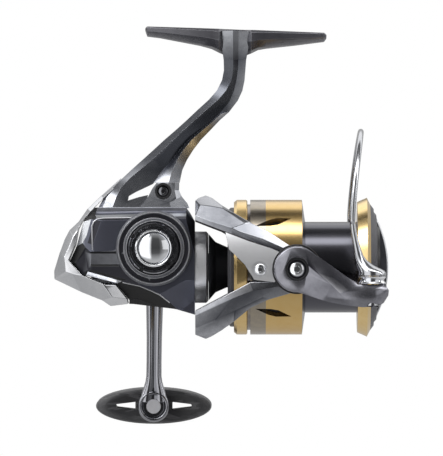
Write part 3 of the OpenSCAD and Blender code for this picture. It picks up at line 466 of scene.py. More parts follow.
# A lighter copy of the rotor's paint: a painted highlight on the arm facets that face the sky.
rotor_painted_highlight = finish("rotor_painted_highlight", rgb(134, 136, 142), 0.2, 0.95, rgb(220, 220, 224), 0.7)
bail_paint = finish("bail_paint", rgb(72, 72, 80), 0.24, 0.9, rgb(180, 180, 188), 0.5,
                    coat=0.3)
# Near-black put where shade falls, in gaps, screw wells, round the pivots and between the rotor's
# legs: painted shade.
painted_shade_black = finish("painted_shade_black", rgb(18, 18, 20), 0.55, 0.0, rgb(50, 50, 54), 0.4)
black_plastic = finish("black_plastic", rgb(30, 30, 33), 0.42, 0.0, rgb(84, 84, 90), 0.6)
knob_rubber = finish("knob_rubber", rgb(46, 46, 48), 0.44, 0.0, rgb(96, 96, 98), 0.5,
                     scale=1600.0, spread=0.2, bump=0.12)
drag_black = finish("drag_black", rgb(26, 26, 29), 0.33, 0.0, rgb(92, 92, 98), 0.6)
cap_grey = finish("cap_grey", rgb(176, 176, 180), 0.4, 0.2, rgb(210, 210, 214), 0.4)
click_white = finish("click_white", rgb(212, 212, 216), 0.5, 0.0, rgb(230, 230, 232), 0.3)
felt = finish("felt", rgb(60, 58, 56), 0.9, 0.0, scale=2500.0, spread=0.2, shade=0.5, bump=0.8)
print("paints ready")

# %% [markdown]
# Bare and plated metals differ in little but tint and roughness: chrome is nearly a mirror, the
# satin parts scatter, and the gold anodised rings carry fine turning lines.

# %% Metals
chrome = finish("chrome", rgb(232, 234, 238), 0.07, 1.0, rgb(250, 250, 252), 0.4, spread=0.03,
                shade=0.05, bump=0.0)
guard_chrome = finish("guard_chrome", rgb(190, 192, 196), 0.17, 1.0, rgb(245, 245, 248), 0.6,
                      spread=0.05, shade=0.08, bump=0.0)
satin_silver = finish("satin_silver", rgb(206, 208, 212), 0.3, 1.0, rgb(240, 240, 244), 0.5,
                      stretch=(0.15, 1, 1), bump=0.08)
cover_silver = finish("cover_silver", rgb(236, 237, 240), 0.4, 1.0, rgb(250, 250, 252), 0.5,
                      stretch=(0.15, 1, 1))
wire_steel = finish("wire_steel", rgb(172, 174, 178), 0.16, 1.0, rgb(245, 245, 248), 0.3,
                    spread=0.05, bump=0.0)
dark_chrome = finish("dark_chrome", rgb(120, 121, 126), 0.13, 1.0, rgb(190, 190, 196), 0.6,
                     spread=0.05, shade=0.08, bump=0.0)
bearing_steel = finish("bearing_steel", rgb(196, 198, 202), 0.22, 1.0, rgb(230, 230, 234), 0.4)
brass = finish("brass", rgb(196, 162, 92), 0.28, 1.0, rgb(232, 204, 140), 0.5)
gear_alloy = finish("gear_alloy", rgb(176, 172, 160), 0.35, 1.0, rgb(214, 210, 200), 0.5)
lip_gold = finish("lip_gold", rgb(228, 192, 122), 0.2, 1.0, rgb(250, 226, 176), 0.5,
                  spread=0.06, stretch=(4, 0.3, 0.3), bump=0.04)
ring_gold = finish("ring_gold", rgb(206, 168, 96), 0.24, 1.0, rgb(246, 222, 170), 0.5,
                   spread=0.06, stretch=(4, 0.3, 0.3), bump=0.04)
print("metals ready")

# %% [markdown]
# The spool is one turned piece with four coatings: a grey band at the back of its skirt, gold
# over the rest, a dark chamfer at the front of the skirt, and a dark polished barrel where the
# line is wound. Masks along the spool axis change the colour where the coatings meet.

# %% Spool coating
BARREL_LEN, CHAMFER, SEAM = 19.4, 1.3, 0.1
GREY_END = 11.2
skirt_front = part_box("spool_lip")[0].x / MM - BARREL_LEN
ALONG = (1.0, 0.0, 0.0)
GOLD, DUSK, DARK = rgb(206, 166, 92), rgb(112, 110, 116), rgb(92, 92, 98)
spool_gold = finish(
    "spool_gold", DUSK, 0.2, 1.0, rgb(240, 222, 180), 0.3, spread=0.06, stretch=(4, 0.3, 0.3),
    bump=0.04,
    zones=[(ALONG, GREY_END, GREY_END + SEAM, GOLD),
           (ALONG, skirt_front - CHAMFER, skirt_front - CHAMFER + SEAM, DARK)],
)
print("spool skirt ends at", round(skirt_front, 1), "mm")

# %% [markdown]
# ## Foot
# The foot is clamped under the rod's seat. It is a slim cast bar, flat on top, that thickens
# towards the stem and narrows to its tips. Rings across it, from tip to tip, follow its side
# and plan outlines: each station is a place along the foot, its underside and half its width.
# It is narrow in the very middle, where the stem's head takes over.

# %% Foot
seat_slope = math.tan(math.radians(2.04))
TIP_FROM, TIP_DROP = 33.3, 0.7
foot_stations = [
    (-33.6, -0.5, 3.0), (-32.9, -2.6, 3.9), (-28.1, -3.2, 5.2), (-20.7, -4.6, 6.7),
    (-12.9, -6.1, 7.8), (-8.9, -7.2, 8.2), (-6.1, -8.6, 8.4), (-3.5, -9.8, 4.2),
    (3.5, -9.8, 4.2), (5.8, -8.9, 8.4), (8.4, -7.6, 8.2), (11.4, -7.1, 8.0), (21.8, -6.0, 6.5),
    (33.0, -4.6, 4.0), (33.9, -3.4, 3.2),
]
foot_rings = []
for x, under, half in foot_stations:
    top = -x * seat_slope - (TIP_DROP if abs(x) > TIP_FROM else 0.0)
    depth = top - under
    foot_rings.append([
        Vector((x * MM, y * MM, z * MM)) for y, z in [
            (-0.86 * half, top), (-half, top - 0.12 * depth), (-half, top - 0.5 * depth),
            (-0.62 * half, under + 0.12 * depth), (-0.28 * half, under),
            (0.28 * half, under), (0.62 * half, under + 0.12 * depth),
            (half, top - 0.5 * depth), (half, top - 0.12 * depth), (0.86 * half, top),
        ]
    ])
piece("reel_foot", loft(foot_rings), "reel", [foot_paint], ["body_frame"],
      bevel=0.45, crisp=24, segments=3)

# %% [markdown]
# ## Stem
# The stem drops from the foot as one neck and parts into a rear and a front leg round a small
# window. Five lines run down it: the rear edge, the main crease, the edge of the dark facet, a
# front crease and the front edge. Each point has its depth to either side of the middle.

# %% Lines down the stem
stem_corners = {
    **line("L", (-4.9, 87.9, 7.4), (-5.0, 81.6, 4.8), (-4.4, 77.2, 2.4), (-4.3, 73.4, 2.3),
           (-5.0, 69.7, 2.3), (-6.9, 65.8, 2.3), (-9.9, 62.4, 2.3), (-14.2, 58.5, 2.4),
           (-18.1, 54.8, 2.4), (-22.2, 51.1, 2.5), (-26.5, 47.4, 2.6), (-30.6, 43.6, 2.8),
           (-34.7, 39.9, 3.0), (-38.8, 36.2, 3.4), (-42.2, 33.0, 3.8), (-45.6, 29.6, 4.6),
           (-48.9, 26.0, 5.4), (-51.0, 22.2, 6.0)),
    **line("C", (-1.0, 88.0, 8.5), (-0.9, 81.6, 6.6), (-0.9, 77.2, 4.6), (-0.9, 73.4, 4.6),
           (-1.5, 69.7, 4.6), (-3.4, 65.9, 4.6), (-6.4, 62.4, 4.6), (-11.0, 58.4, 4.7),
           (-15.1, 54.8, 4.8), (-19.2, 51.1, 5.0), (-23.1, 47.4, 5.2), (-27.0, 43.6, 5.6),
           (-31.1, 39.9, 6.0), (-35.6, 36.2, 6.4), (-39.4, 33.0, 6.8), (-42.6, 29.6, 7.3),
           (-44.4, 26.0, 7.8), (-45.7, 22.2, 8.4)),
    **line("D", (1.2, 88.0, 8.3), (1.1, 81.6, 6.2), (1.1, 77.2, 4.2), (0.9, 73.4, 4.2),
           (0.4, 69.6, 4.2), (-0.5, 65.8, 4.2), (-2.2, 61.8, 4.2), (-5.8, 57.2, 4.0),
           (-9.4, 53.8, 3.8), (-13.4, 50.9, 3.6), (-17.4, 47.4, 3.5), (-20.7, 43.6, 3.6),
           (-23.7, 39.9, 3.8), (-27.0, 36.2, 4.2), (-30.4, 31.5, 4.6)),
    "F7": (-5.0, 57.3, 4.5), "F8": (-8.4, 54.2, 4.9), "F9": (-12.2, 51.0, 5.4),
    "F10": (-16.2, 47.4, 5.8), "F11": (-19.4, 43.6, 6.3), "F12": (-21.6, 39.9, 6.8),
    "F13": (-23.4, 36.2, 7.2), "F14": (-24.8, 31.55, 7.6),
    **line("R", (5.1, 87.7, 7.4), (4.8, 81.6, 4.8), (4.0, 77.2, 2.4), (3.7, 73.4, 2.3),
           (3.4, 69.6, 2.3), (2.6, 65.8, 2.3), (0.9, 62.1, 2.3), (-2.4, 57.8, 2.4),
           (-5.8, 54.8, 2.5), (-9.3, 51.1, 2.7), (-12.9, 47.4, 3.0), (-15.8, 43.6, 3.4),
           (-18.1, 39.9, 3.9), (-19.8, 36.2, 4.5), (-20.8, 31.55, 5.2)),
    "Wa": (-40.1, 24.8, 6.6), "Wb": (-39.7, 26.5, 6.4), "Wc": (-37.1, 28.0, 6.0),
    "Wd": (-30.7, 31.0, 4.6), "We": (-32.6, 26.9, 5.4), "Wf": (-36.0, 26.1, 6.0),
    "Ba": (-42.0, 22.2, 7.4), "Bb": (-33.4, 22.2, 6.2),
}
print(len(stem_corners), "corners on the stem")

# %% [markdown]
# Quads between neighbouring lines are the facets. The groove down the neck, between the main
# crease and the front one, is painted darker as painted shade, and the small odd facets close
# round the window.

# %% Stem
CAST, GROOVE_SHADE = 0, 1
stem_facets = (
    strip("L", "C", 0, 17) + strip("C", "D", 0, 3, GROOVE_SHADE) + strip("C", "D", 3, 13)
    + strip("D", "R", 0, 7) + strip("D", "F", 7, 14) + strip("F", "R", 7, 14)
    + [(names, CAST) for names in (
        "D7 F7 R7", "C13 D13 Wd Wc C14", "C14 Wc Wb C15", "C15 Wb Wa C16", "C16 Wa Ba C17",
        "Wa Wf We Bb Ba", "D13 D14 Wd")]
)
piece("reel_stem", relief(stem_corners, stem_facets), "reel", [frame_paint, shade_paint],
      ["body_frame"], bevel=0.3, crisp=19)

# %% [markdown]
# ## Cover of the front leg
# The bottom of the front leg is a separate cover, held by one screw deep in a black well. It
# flares over the gearbox. The well is cut after the facets are drawn, and a black sleeve lines
# it as painted shadow, so that the bright screw head sits in shadow.

# %% Leg cover
screw = middle("cover_screw")
screw_x, screw_z = screw.x / MM, (screw.z - axis_z) / MM
leg_corners = {
    "a": (-29.3, 31.5, 6.8), "b": (-24.6, 31.5, 7.6), "c": (-22.5, 31.5, 7.6),
    "d": (-20.9, 31.5, 5.2), "e": (-21.0, 28.7, 5.3), "f": (-20.0, 26.3, 5.6),
    "g": (-17.9, 23.8, 6.2), "h": (-17.2, 22.0, 6.6), "i": (-23.6, 21.4, 9.6),
    "j": (-36.4, 21.7, 9.4), "k": (-34.2, 23.8, 8.4), "l": (-32.5, 26.2, 7.6),
    "m": (-31.0, 29.2, 7.0), "n": (-22.6, 28.7, 8.0), "o": (-22.0, 25.4, 8.2),
    "p": (-24.6, 24.0, 8.6),
}
leg_facets = [("a b n o p k l m", 0), ("b c n", 0), ("c d e n", 0), ("n e f o", 0),
              ("o f g h i p", 0), ("p i j k", 0)]
LEG_BACK, WELL_R, WELL_FLOOR = -2.8, 3.1, -5.4
leg = relief(leg_corners, leg_facets, back=LEG_BACK)
well = lathe([(0, -9.5), (WELL_R, -9.5), (WELL_R, WELL_FLOOR), (0, WELL_FLOOR)],
             at(screw_x, screw_z))
piece("leg_cover_shell", carve(leg, well), "reel", [frame_paint], ["leg_cover"],
      bevel=0.28, crisp=12)
sleeve = lathe([(2.2, -8.05), (3.06, -8.05), (3.06, -5.3), (2.2, -5.3)], at(screw_x, screw_z))
piece("screw_well", sleeve, "reel", [painted_shade_black], bevel=0.12)

# %% [markdown]
# ## Gearbox cover
# The near cover is a pressed shell: a main panel framed by a bright edge, a recessed strip and
# a wedge below it, and facets that fall away to the bottom. Every corner carries its own depth,
# and those depths alone make the relief.

# %% Corners of the gearbox
box_corners = {
    "Ta": (-51.2, 22.3, 9.4), "Tb": (-37.8, 22.3, 9.4), "Tc": (-24.0, 22.3, 9.4),
    "Td": (-18.4, 22.3, 9.4), "Te": (-17.0, 20.4, 9.8), "Tf": (-15.1, 17.0, 11.0),
    "Ua": (-52.1, 19.4, 12.9), "Uc": (-24.2, 20.0, 13.0), "Ud": (-18.3, 20.0, 13.0),
    "Va": (-51.6, 18.4, 14.4), "Vc": (-24.2, 18.9, 14.8), "Vd": (-18.3, 18.9, 14.8),
    "Na": (-49.9, 17.4, 15.5), "Nc": (-24.2, 17.9, 15.7), "Nd": (-18.3, 17.9, 15.4),
    "Pa": (-52.4, 17.6, 15.0), "Pb": (-54.9, 9.0, 15.0), "Pc": (-53.9, 5.7, 15.0),
    "Qb": (-53.0, 8.4, 15.9), "Qc": (-52.6, 5.8, 15.9), "Qm": (-47.9, 17.5, 15.95),
    "Qn": (-47.9, 5.9, 15.95), "Wd": (-43.0, 6.0, 15.6),
    "Sa": (-53.6, 5.1, 14.2), "Sb": (-43.2, 5.1, 14.2), "Sc": (-43.2, 1.2, 14.2),
    "Sd": (-53.8, 1.2, 14.2),
    "Ra": (-53.6, 0.3, 15.2), "Rb": (-43.3, 0.4, 15.4), "Rc": (-40.4, -4.6, 15.2),
    "Rd": (-53.6, -0.8, 14.9),
    "Ea": (-54.8, -1.6, 14.2), "Eb": (-42.2, -5.1, 14.4), "Ec": (-43.9, -5.9, 13.4),
    "Ed": (-55.4, -3.1, 13.2),
    "Ka": (-42.0, -5.4, 14.9), "Kb": (-35.6, -6.7, 14.9), "Kc": (-31.9, -8.2, 14.8),
    "Kd": (-28.1, -10.0, 14.6), "Ke": (-24.4, -13.0, 13.6), "Kf": (-21.8, -15.4, 12.4),
    "Ga": (-44.2, -6.4, 13.0), "Gb": (-39.4, -12.2, 11.0), "Gc": (-39.5, -13.6, 9.6),
    "Gd": (-31.9, -13.8, 9.6), "Ge": (-21.9, -15.6, 11.8),
    "Fa": (-15.1, -17.6, 9.6), "Fb": (-15.1, -5.0, 13.8), "Fc": (-18.3, -4.8, 15.0),
    "Fe": (-15.1, 5.0, 14.2),
    "La": (-56.4, 17.0, 12.2), "Lb": (-53.6, 17.8, 14.2), "Lc": (-55.2, 11.9, 14.4),
    "Ld": (-56.7, 9.0, 14.0), "Le": (-59.0, 7.8, 12.6),
    "Mc": (-55.6, 7.5, 14.6), "Md": (-59.3, 1.6, 14.0), "Me": (-61.7, 2.0, 12.4),
    "Oa": (-55.9, 5.6, 14.2), "Ob": (-54.9, -1.0, 14.0), "Oc": (-57.0, -2.9, 12.4),
    "Ja": (-52.6, 22.0, 9.6), "Jb": (-56.2, 18.0, 10.6),
}
print(len(box_corners), "corners on the gearbox")

# %% [markdown]
# The facets name their corners in order, and say which of four finishes they get: the cover's
# paint, a bright machined edge, black as painted shade in a gap, or a shaded recess.

# %% Facets of the gearbox
PAINT, LIGHT, BLACK_SHADE, SHADE = 0, 1, 2, 3
box_facets = [
    ("Ta Tb Tc Uc Ua", PAINT), ("Tc Td Ud Uc", PAINT), ("Td Te Ud", SHADE), ("Te Tf Ud", SHADE),
    ("Ua Uc Vc Va", LIGHT), ("Uc Ud Vd Vc", LIGHT), ("Va Vc Nc Qm Na", SHADE),
    ("Vc Vd Nd Nc", SHADE), ("Ud Tf Fe Nd Vd", SHADE),
    ("Pa Va Na", PAINT), ("Pa Na Qb Pb", SHADE), ("Pb Qb Qc Pc", PAINT),
    ("Na Qm Qn Qc Qb", PAINT), ("Qm Nc Nd Fe Fb Fc Kd Kc Kb Wd Qn", PAINT),
    ("Pc Qc Qn Wd Sb Sa", BLACK_SHADE), ("Sa Sb Sc Sd", SHADE), ("Sd Sc Rb Ra", BLACK_SHADE),
    ("Ra Rb Rc Rd", SHADE), ("Wd Kb Rc Rb Sc Sb", SHADE), ("Rd Rc Eb Ea", BLACK_SHADE),
    ("Ea Eb Ec Ed", LIGHT), ("Rc Kb Ka Eb", SHADE), ("Eb Ka Ga Ec", BLACK_SHADE),
    ("Fc Fb Fa Ke Kd", PAINT), ("Fa Kf Ke", PAINT),
    ("Ka Kb Gb Ga", BLACK_SHADE), ("Kb Kc Kd Ke Kf Ge Gd Gc Gb", BLACK_SHADE), ("Kf Fa Ge", PAINT),
    ("Lb La Le Ld Lc", LIGHT), ("Pa Pb Lc Lb", PAINT), ("Pb Pc Mc Ld Lc", PAINT),
    ("Ld Le Me Md Mc", BLACK_SHADE), ("Mc Pc Sa Oa", SHADE), ("Mc Oa Md", SHADE),
    ("Md Oa Ob Oc", SHADE), ("Oa Sa Sd Ra Rd Ob", SHADE), ("Ob Rd Ea", SHADE),
    ("Oc Ob Ea Ed", BLACK_SHADE), ("Me Oc Md", BLACK_SHADE),
    ("Ta Ua Va Pa Lb Ja", BLACK_SHADE), ("Ja Lb La Jb", BLACK_SHADE),
]
print(len(box_facets), "facets on the gearbox")

# %% [markdown]
# The near cover and the case behind it are two solids from the same facets, mirrored. Fine bright
# lines, swept as thin tubes, run along two edges of the main panel. They sit proud of it by less
# than their own thickness, as a polished chamfer would catch the light.

# %% Gearbox cover and case
COVER_BACK, CASE_BACK = -11.4, -11.3
box_paints = [cover_paint, satin_silver, painted_shade_black, shade_paint]
cover = relief(box_corners, box_facets, back=COVER_BACK)
piece("gearbox_cover", cover, "reel", box_paints, ["side_cover"], bevel=0.26,
      crisp=9)
panel_edge = tube([at(-53.1, 6.4, -15.75), at(-53.2, 15.4, -15.35), at(-52.6, 16.9, -15.2),
                   at(-51.2, 17.9, -14.95), at(-49.0, 18.2, -14.95), at(-37.0, 18.4, -15.05),
                   at(-24.4, 18.5, -15.2)], 0.26, sides=10)
lower_edge = tube([at(-41.9, -5.6, -14.9), at(-35.6, -6.9, -14.95), at(-31.9, -8.4, -14.8),
                   at(-28.1, -10.2, -14.6), at(-24.4, -13.1, -13.7)], 0.22, sides=10)
piece("panel_trim", merge(panel_edge, lower_edge), "reel", [satin_silver],
      bevel=0.0, crisp=60)
case = relief(box_corners, box_facets, back=CASE_BACK, side=1)
piece("gearbox_case", case, "reel", box_paints, ["body_frame"], bevel=0.26,
      crisp=9)

# %% [markdown]
# Round the crank axis the cover rises in stepped rings. They are turned, so one lathed profile
# holds the steps. The far side has the plain boss that the handle's shaft comes out of.

# %% Stepped boss
hub = Vector((crank.x, 0, crank.z))
near_boss = lathe([(0, -15.2), (14.1, -15.2), (14.1, -16.0), (13.5, -16.6), (12.9, -16.6),
                   (12.6, -16.0), (11.3, -16.0), (11.0, -16.7), (10.3, -16.7), (10.0, -15.9),
                   (0, -15.9)], hub, steps=128)
piece("cover_boss", near_boss, "reel", [shade_paint], bevel=0.16, crisp=20)

fine_rings = [lathe([(r - 0.16, -15.8), (r - 0.16, y), (r + 0.16, y), (r + 0.16, -15.8)], hub,
                    steps=128) for r, y in ((13.2, -16.85), (11.15, -16.5), (10.15, -16.95))]
piece("boss_lines", merge(*fine_rings), "reel", [satin_silver], bevel=0.06)

# %% [markdown]
# Inside the rings sits a lock ring with four notches for a spanner. The ring is turned, and four
# round cutters take the notches out of it.

# %% Lock ring
LOCK_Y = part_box("boss_ring")[0].y / MM
lock_ring = lathe([(6.9, -15.6), (9.5, -15.6), (9.5, LOCK_Y + 0.5), (9.1, LOCK_Y), (8.4, LOCK_Y),
                   (8.0, LOCK_Y + 0.4), (7.4, LOCK_Y + 0.4), (6.9, LOCK_Y + 0.9)], hub, steps=128)
NOTCH_R, NOTCH_PITCH_R = 0.9, 9
notches = []
for angle in (60, 150, 240, 330):
    a = math.radians(angle)
    spot = hub + Vector((math.cos(a), 0, math.sin(a))) * NOTCH_PITCH_R * MM
    notches.append(lathe([(0, LOCK_Y - 1), (NOTCH_R, LOCK_Y - 1), (NOTCH_R, LOCK_Y + 0.9),
                          (0, LOCK_Y + 0.9)], spot, steps=24))
piece("lock_ring", carve(lock_ring, *notches), "reel", [dark_chrome],
      ["boss_ring"], bevel=0.14, crisp=24)

# %% [markdown]
# The dome is an arc of a large ball, so it mirrors the softbox on the left as a soft crescent.
# The arc is worked out from how far the surface bends between its centre and its rim.

# %% Domed cap and far boss
cap_low, cap_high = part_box("side_cap")
CAP_Y, CAP_R = cap_low.y / MM, (cap_high.x - cap_low.x) / MM / 2
dome_r = CAP_R - 1.25
DOME_BEND = 32
dome_ball = dome_r / math.sin(math.radians(DOME_BEND))
dome = [(dome_ball * math.sin(math.radians(a)),
         CAP_Y + dome_ball * (1 - math.cos(math.radians(a)))) for a in range(0, DOME_BEND + 1, 4)]
side_cap = lathe(dome + [(dome_r + 0.1, CAP_Y + 2.2), (dome_r + 0.4, CAP_Y + 1.0),
                         (CAP_R - 0.5, CAP_Y + 0.8), (CAP_R, CAP_Y + 1.4), (CAP_R, -15.8),
                         (0, -15.8)], hub, steps=128)
piece("domed_cap", side_cap, "reel", [chrome], ["side_cap"], bevel=0.1,
      crisp=30)
far_boss = lathe([(4.4, 15.0), (11.0, 15.0), (11.0, 16.4), (10.0, 17.2), (10.0, 21.2),
                  (9.2, 22.0), (4.4, 22.0)], hub, steps=96)
piece("far_boss", far_boss, "reel", [frame_paint], ["body_frame"], bevel=0.25)

# %% [markdown]
# ## Guard
# A bright plated guard wraps the back of the gearbox. It is the most mirror-like part, so the
# lean of each facet decides whether it shows white or grey: the strips up the back turn little by
# little towards the light, and the long one underneath mirrors the pale ground.

# %% Guard facets
guard_corners = {
    "Aa": (-42.7, 33.2, 2.6), "Ab": (-50.1, 26.5, 4.6), "Ac": (-55.0, 21.8, 5.6),
    "Ad": (-58.3, 17.0, 6.4), "Ae": (-61.7, 13.8, 7.2), "Af": (-63.4, 10.6, 7.8),
    "Ag": (-65.4, 5.2, 8.4), "Ah": (-67.4, -1.4, 9.0), "Ai": (-67.3, -4.4, 9.2),
    "Ba": (-41.9, 32.4, 4.0), "Bb": (-49.2, 25.6, 6.6), "Bc": (-53.8, 20.8, 9.8),
    "Bd": (-56.8, 17.2, 12.0), "Be": (-60.3, 11.4, 14.0), "Bf": (-61.8, 7.6, 14.6),
    "Bg": (-63.6, 3.8, 14.8), "Bh": (-63.0, -1.6, 15.2),
    "Ce": (-58.4, 14.0, 13.2), "Cf": (-59.4, 8.4, 14.6), "Cg": (-61.9, 2.6, 15.4),
    "Da": (-56.8, -2.9, 16.0), "Dc": (-49.4, -6.0, 16.3),
    "Dd": (-46.8, -9.4, 15.8), "De": (-45.7, -11.2, 15.4), "Df": (-49.4, -12.3, 13.6),
    "Dg": (-57.2, -9.2, 12.0), "Dh": (-60.3, -2.4, 15.6),
    "Ea": (-48.0, -6.5, 16.0), "Eb": (-44.4, -6.5, 14.8), "Ec": (-40.1, -11.9, 13.4),
    "Fa": (-39.8, -13.6, 10.4), "Fb": (-46.4, -14.4, 10.8),
}
guard_facets = [
    ("Aa Ba Bb Ab", 0), ("Ab Bb Bc Ac", 0), ("Ac Bc Bd Ad", 0), ("Ad Bd Ce Be Ae", 0),
    ("Ae Be Bf Af", 0), ("Af Bf Bg Ag", 0), ("Ag Bg Bh Ah", 0), ("Ah Bh Ai", 0),
    ("Ce Cf Bf Be", 0), ("Cf Cg Bg Bf", 0), ("Bg Cg Dh Bh", 0), ("Cg Da Dh", 0),
    ("Ai Bh Dh Dg", 0), ("Dh Da Dc Df Dg", 0), ("Dc Dd De Df", 0),
    ("Dc Ea Dd", 0), ("Ea Eb Ec De Dd", 0), ("De Ec Fa Fb Df", 0),
]
piece("guard_shell", relief(guard_corners, guard_facets), "reel", [guard_chrome],
      ["rear_guard"], bevel=0.3, crisp=10)

# %% [markdown]
# ## Rotor
# The rotor turns round the main shaft. Its cup runs inside the spool's skirt, and two arms
# reach forward outside it, so they lie on a cylinder. Each arm corner is given the radius it
# stands at, and the depth follows from that radius and its height. The arm is a shell: its
# inner sheet lies on a smaller cylinder that clears the spool.

# %% Arms on a cylinder
SKIRT_CLEAR, HUB_CLEAR, SKIRT_FROM = 25.9, 22.0, -1.1


def arm_depth(radius, z):
    return math.sqrt(max(radius * radius - z * z, 0.0))


def arm_inner(x, z):
    return arm_depth(SKIRT_CLEAR if x > SKIRT_FROM else HUB_CLEAR, z)


arm_lines = {
    "aa": (-14.95, 24.8, 27.6), "ab": (-13.6, 25.8, 28.0), "ac": (-11.0, 26.7, 28.4),
    "ad": (-8.8, 25.8, 28.4), "ae": (-5.0, 23.0, 28.6), "af": (-0.2, 20.0, 28.8),
    "ag": (5.4, 16.6, 29.0), "ah": (12.1, 13.4, 29.0), "ai": (19.9, 8.2, 29.2),
    "bb": (-13.2, 23.2, 29.0), "bc": (-9.5, 22.8, 29.4), "bd": (-4.8, 22.0, 29.4),
    "be": (3.5, 16.4, 29.5), "ca": (-14.95, 19.2, 28.8), "cb": (-9.3, 17.0, 28.9),
    "cc": (-1.5, 14.6, 29.5), "cd": (1.7, 13.1, 29.5), "ce": (9.9, 10.5, 29.5),
    "cf": (17.6, 7.1, 29.5), "da": (-14.95, 17.6, 28.0), "db": (-10.1, 15.7, 28.2),
    "dc": (-5.4, 13.9, 28.4), "dd": (-1.7, 12.6, 28.8), "de": (5.0, 10.2, 28.8),
    "df": (11.0, 8.0, 28.8), "dg": (16.0, 5.8, 28.8),
    "ea": (-14.95, 16.9, 27.4), "eb": (-10.1, 15.0, 27.4), "ec": (-5.4, 13.2, 27.4),
    "ed": (-3.6, 12.2, 27.4), "wa": (-2.4, 6.6, 27.4), "wb": (0.9, 3.5, 27.4),
    "wc": (3.4, 1.0, 27.4), "wd": (5.2, -2.2, 27.4), "we": (6.0, -4.8, 27.4),
    "wg": (13.6, -3.0, 27.4), "wh": (13.6, 1.4, 27.4),
    "fa": (-14.95, -16.2, 28.2), "fb": (-4.6, -10.8, 28.6), "fc": (5.2, -5.5, 28.8),
    "fd": (14.7, -5.3, 28.8), "ga": (-14.95, -18.0, 29.0), "gb": (-1.3, -11.6, 29.4),
    "gc": (6.4, -8.6, 29.4), "gd": (15.9, -7.0, 29.4), "ha": (-14.95, -22.6, 29.2),
    "hb": (-7.6, -19.6, 29.3), "hc": (-0.2, -15.8, 29.4), "hd": (9.9, -10.9, 29.4),
    "ia": (-14.95, -25.0, 28.4), "ib": (-11.0, -26.6, 28.6), "ic": (-8.8, -25.6, 28.6),
    "id": (-5.0, -23.2, 28.8), "ie": (-0.6, -20.1, 28.8), "if": (5.4, -15.0, 28.9),
    "ig": (12.1, -11.9, 29.0), "ih": (20.4, -9.5, 29.0),
    "pa": (22.0, 6.0, 28.6), "pb": (26.5, 3.0, 28.6), "pc": (29.0, -0.6, 28.6),
    "pd": (26.5, -5.0, 28.6), "pe": (22.0, -8.0, 28.6),
}
arm_corners = {k: (x, z, arm_depth(r, z)) for k, (x, z, r) in arm_lines.items()}
print(len(arm_corners), "corners on a rotor arm")

# %% [markdown]
# Each arm has two legs that meet at the bail's hinge. Broad facets are gunmetal, the ones that
# face the sky get a lighter grey as a painted highlight, and the floor between the legs is black
# as painted shade.

# %% Rotor arms
TRIM, SKY_HIGHLIGHT, FLOOR_SHADE = 0, 1, 2
arm_facets = [
    ("aa ab ac ad ae bd bc bb", SKY_HIGHLIGHT), ("aa bb ca", TRIM), ("bb bc bd be cc cb ca", TRIM),
    ("bd ae af", TRIM), ("bd af ag be", SKY_HIGHLIGHT), ("be ag ah ai cf ce cd cc", SKY_HIGHLIGHT),
    ("ca cb db da", TRIM), ("cb cc dd dc db", TRIM), ("cc cd ce cf dg df de dd", TRIM),
    ("da db eb ea", FLOOR_SHADE), ("db dc ec eb", FLOOR_SHADE), ("dc dd ed ec", FLOOR_SHADE),
    ("dd de df dg wh wg fd we wd wc wb wa ed", FLOOR_SHADE), ("we fd fc", SKY_HIGHLIGHT),
    ("fa fb gb ga", TRIM), ("fb fc gc gb", SKY_HIGHLIGHT), ("fc fd gd gc", TRIM),
    ("ga gb hb ha", TRIM), ("gb gc gd hd hc hb", TRIM),
    ("ha hb hc ie id ic ib ia", TRIM), ("hc hd ig if ie", TRIM), ("hd gd ih ig", TRIM),
    ("ai pa pb pc pd pe ih gd fd wg wh dg cf", TRIM),
]
SIDES = ((-1, "near"), (1, "far"))
for side, label in SIDES:
    arm = relief(arm_corners, arm_facets, side=side, far_depth=arm_inner)
    piece(f"rotor_arm_{label}", arm, "rotor", [rotor_paint, rotor_painted_highlight, painted_shade_black],
          ["rotor"], bevel=0.25, crisp=8)

# %% [markdown]
# The cup and its hub are turned parts. The pivot pads at the ends of the arms are short discs
# that the bail turns on.

# %% Rotor cup and pads
spine = Vector((0, 0, axis_z))
cup = lathe([(3.3, -10.0), (12.4, -10.0), (9.4, -7.4), (7.4, -2.9), (21.0, -2.9), (22.2, -1.8),
             (22.2, 22.0), (20.4, 22.0), (20.4, 0.1), (3.3, 0.1)], spine, axis="X", steps=128)
piece("rotor_cup", cup, "rotor", [black_plastic], ["rotor"], bevel=0.25)
# The pads are near-black: painted shade round the rim of the bail arm's disc.
PAD_R, PAD_IN, PAD_OUT = 9.2, 25.95, 28.7
hinge_axis = Vector((hinge.x, 0, hinge.z))
for side, label in SIDES:
    low, high = sorted((side * PAD_IN, side * PAD_OUT))
    pad = lathe([(0, low), (PAD_R, low), (PAD_R, high), (0, high)], hinge_axis)
    piece(f"pivot_pad_{label}", pad, "rotor", [painted_shade_black], ["rotor"], bevel=0.2)

# %% [markdown]
# ## Bail arm
# The bail arm turns on the pad and carries the line roller at its end. It starts as a flat disc
# round its screw, twists through a long crease and swells into a rounded nose. It is one-sided,
# so the relief gets a back that slopes inwards under the roller.

# %% Outline of the bail arm
hinge_x, hinge_z = hinge.x / MM, (hinge.z - axis_z) / MM
ARM_FACE, ARM_EDGE = 32.4, 0.6
BACK, BACK_MIN, SLOPE_FROM, SLOPE = 29.1, 27.4, 31, 0.35
DISC_R, DISC_FACE_R, DISC_FROM, DISC_TURN = 8.6, 8.0, 80, 194


def arm_back(x, z):
    return BACK if x < SLOPE_FROM else max(BACK_MIN, BACK - SLOPE * (x - SLOPE_FROM))


def disc_rim(radius, depth):
    turns = [math.radians(DISC_FROM + DISC_TURN * i / disc_steps) for i in range(disc_steps + 1)]
    return [(hinge_x + radius * math.cos(a), hinge_z + radius * math.sin(a), depth)
            for a in turns]


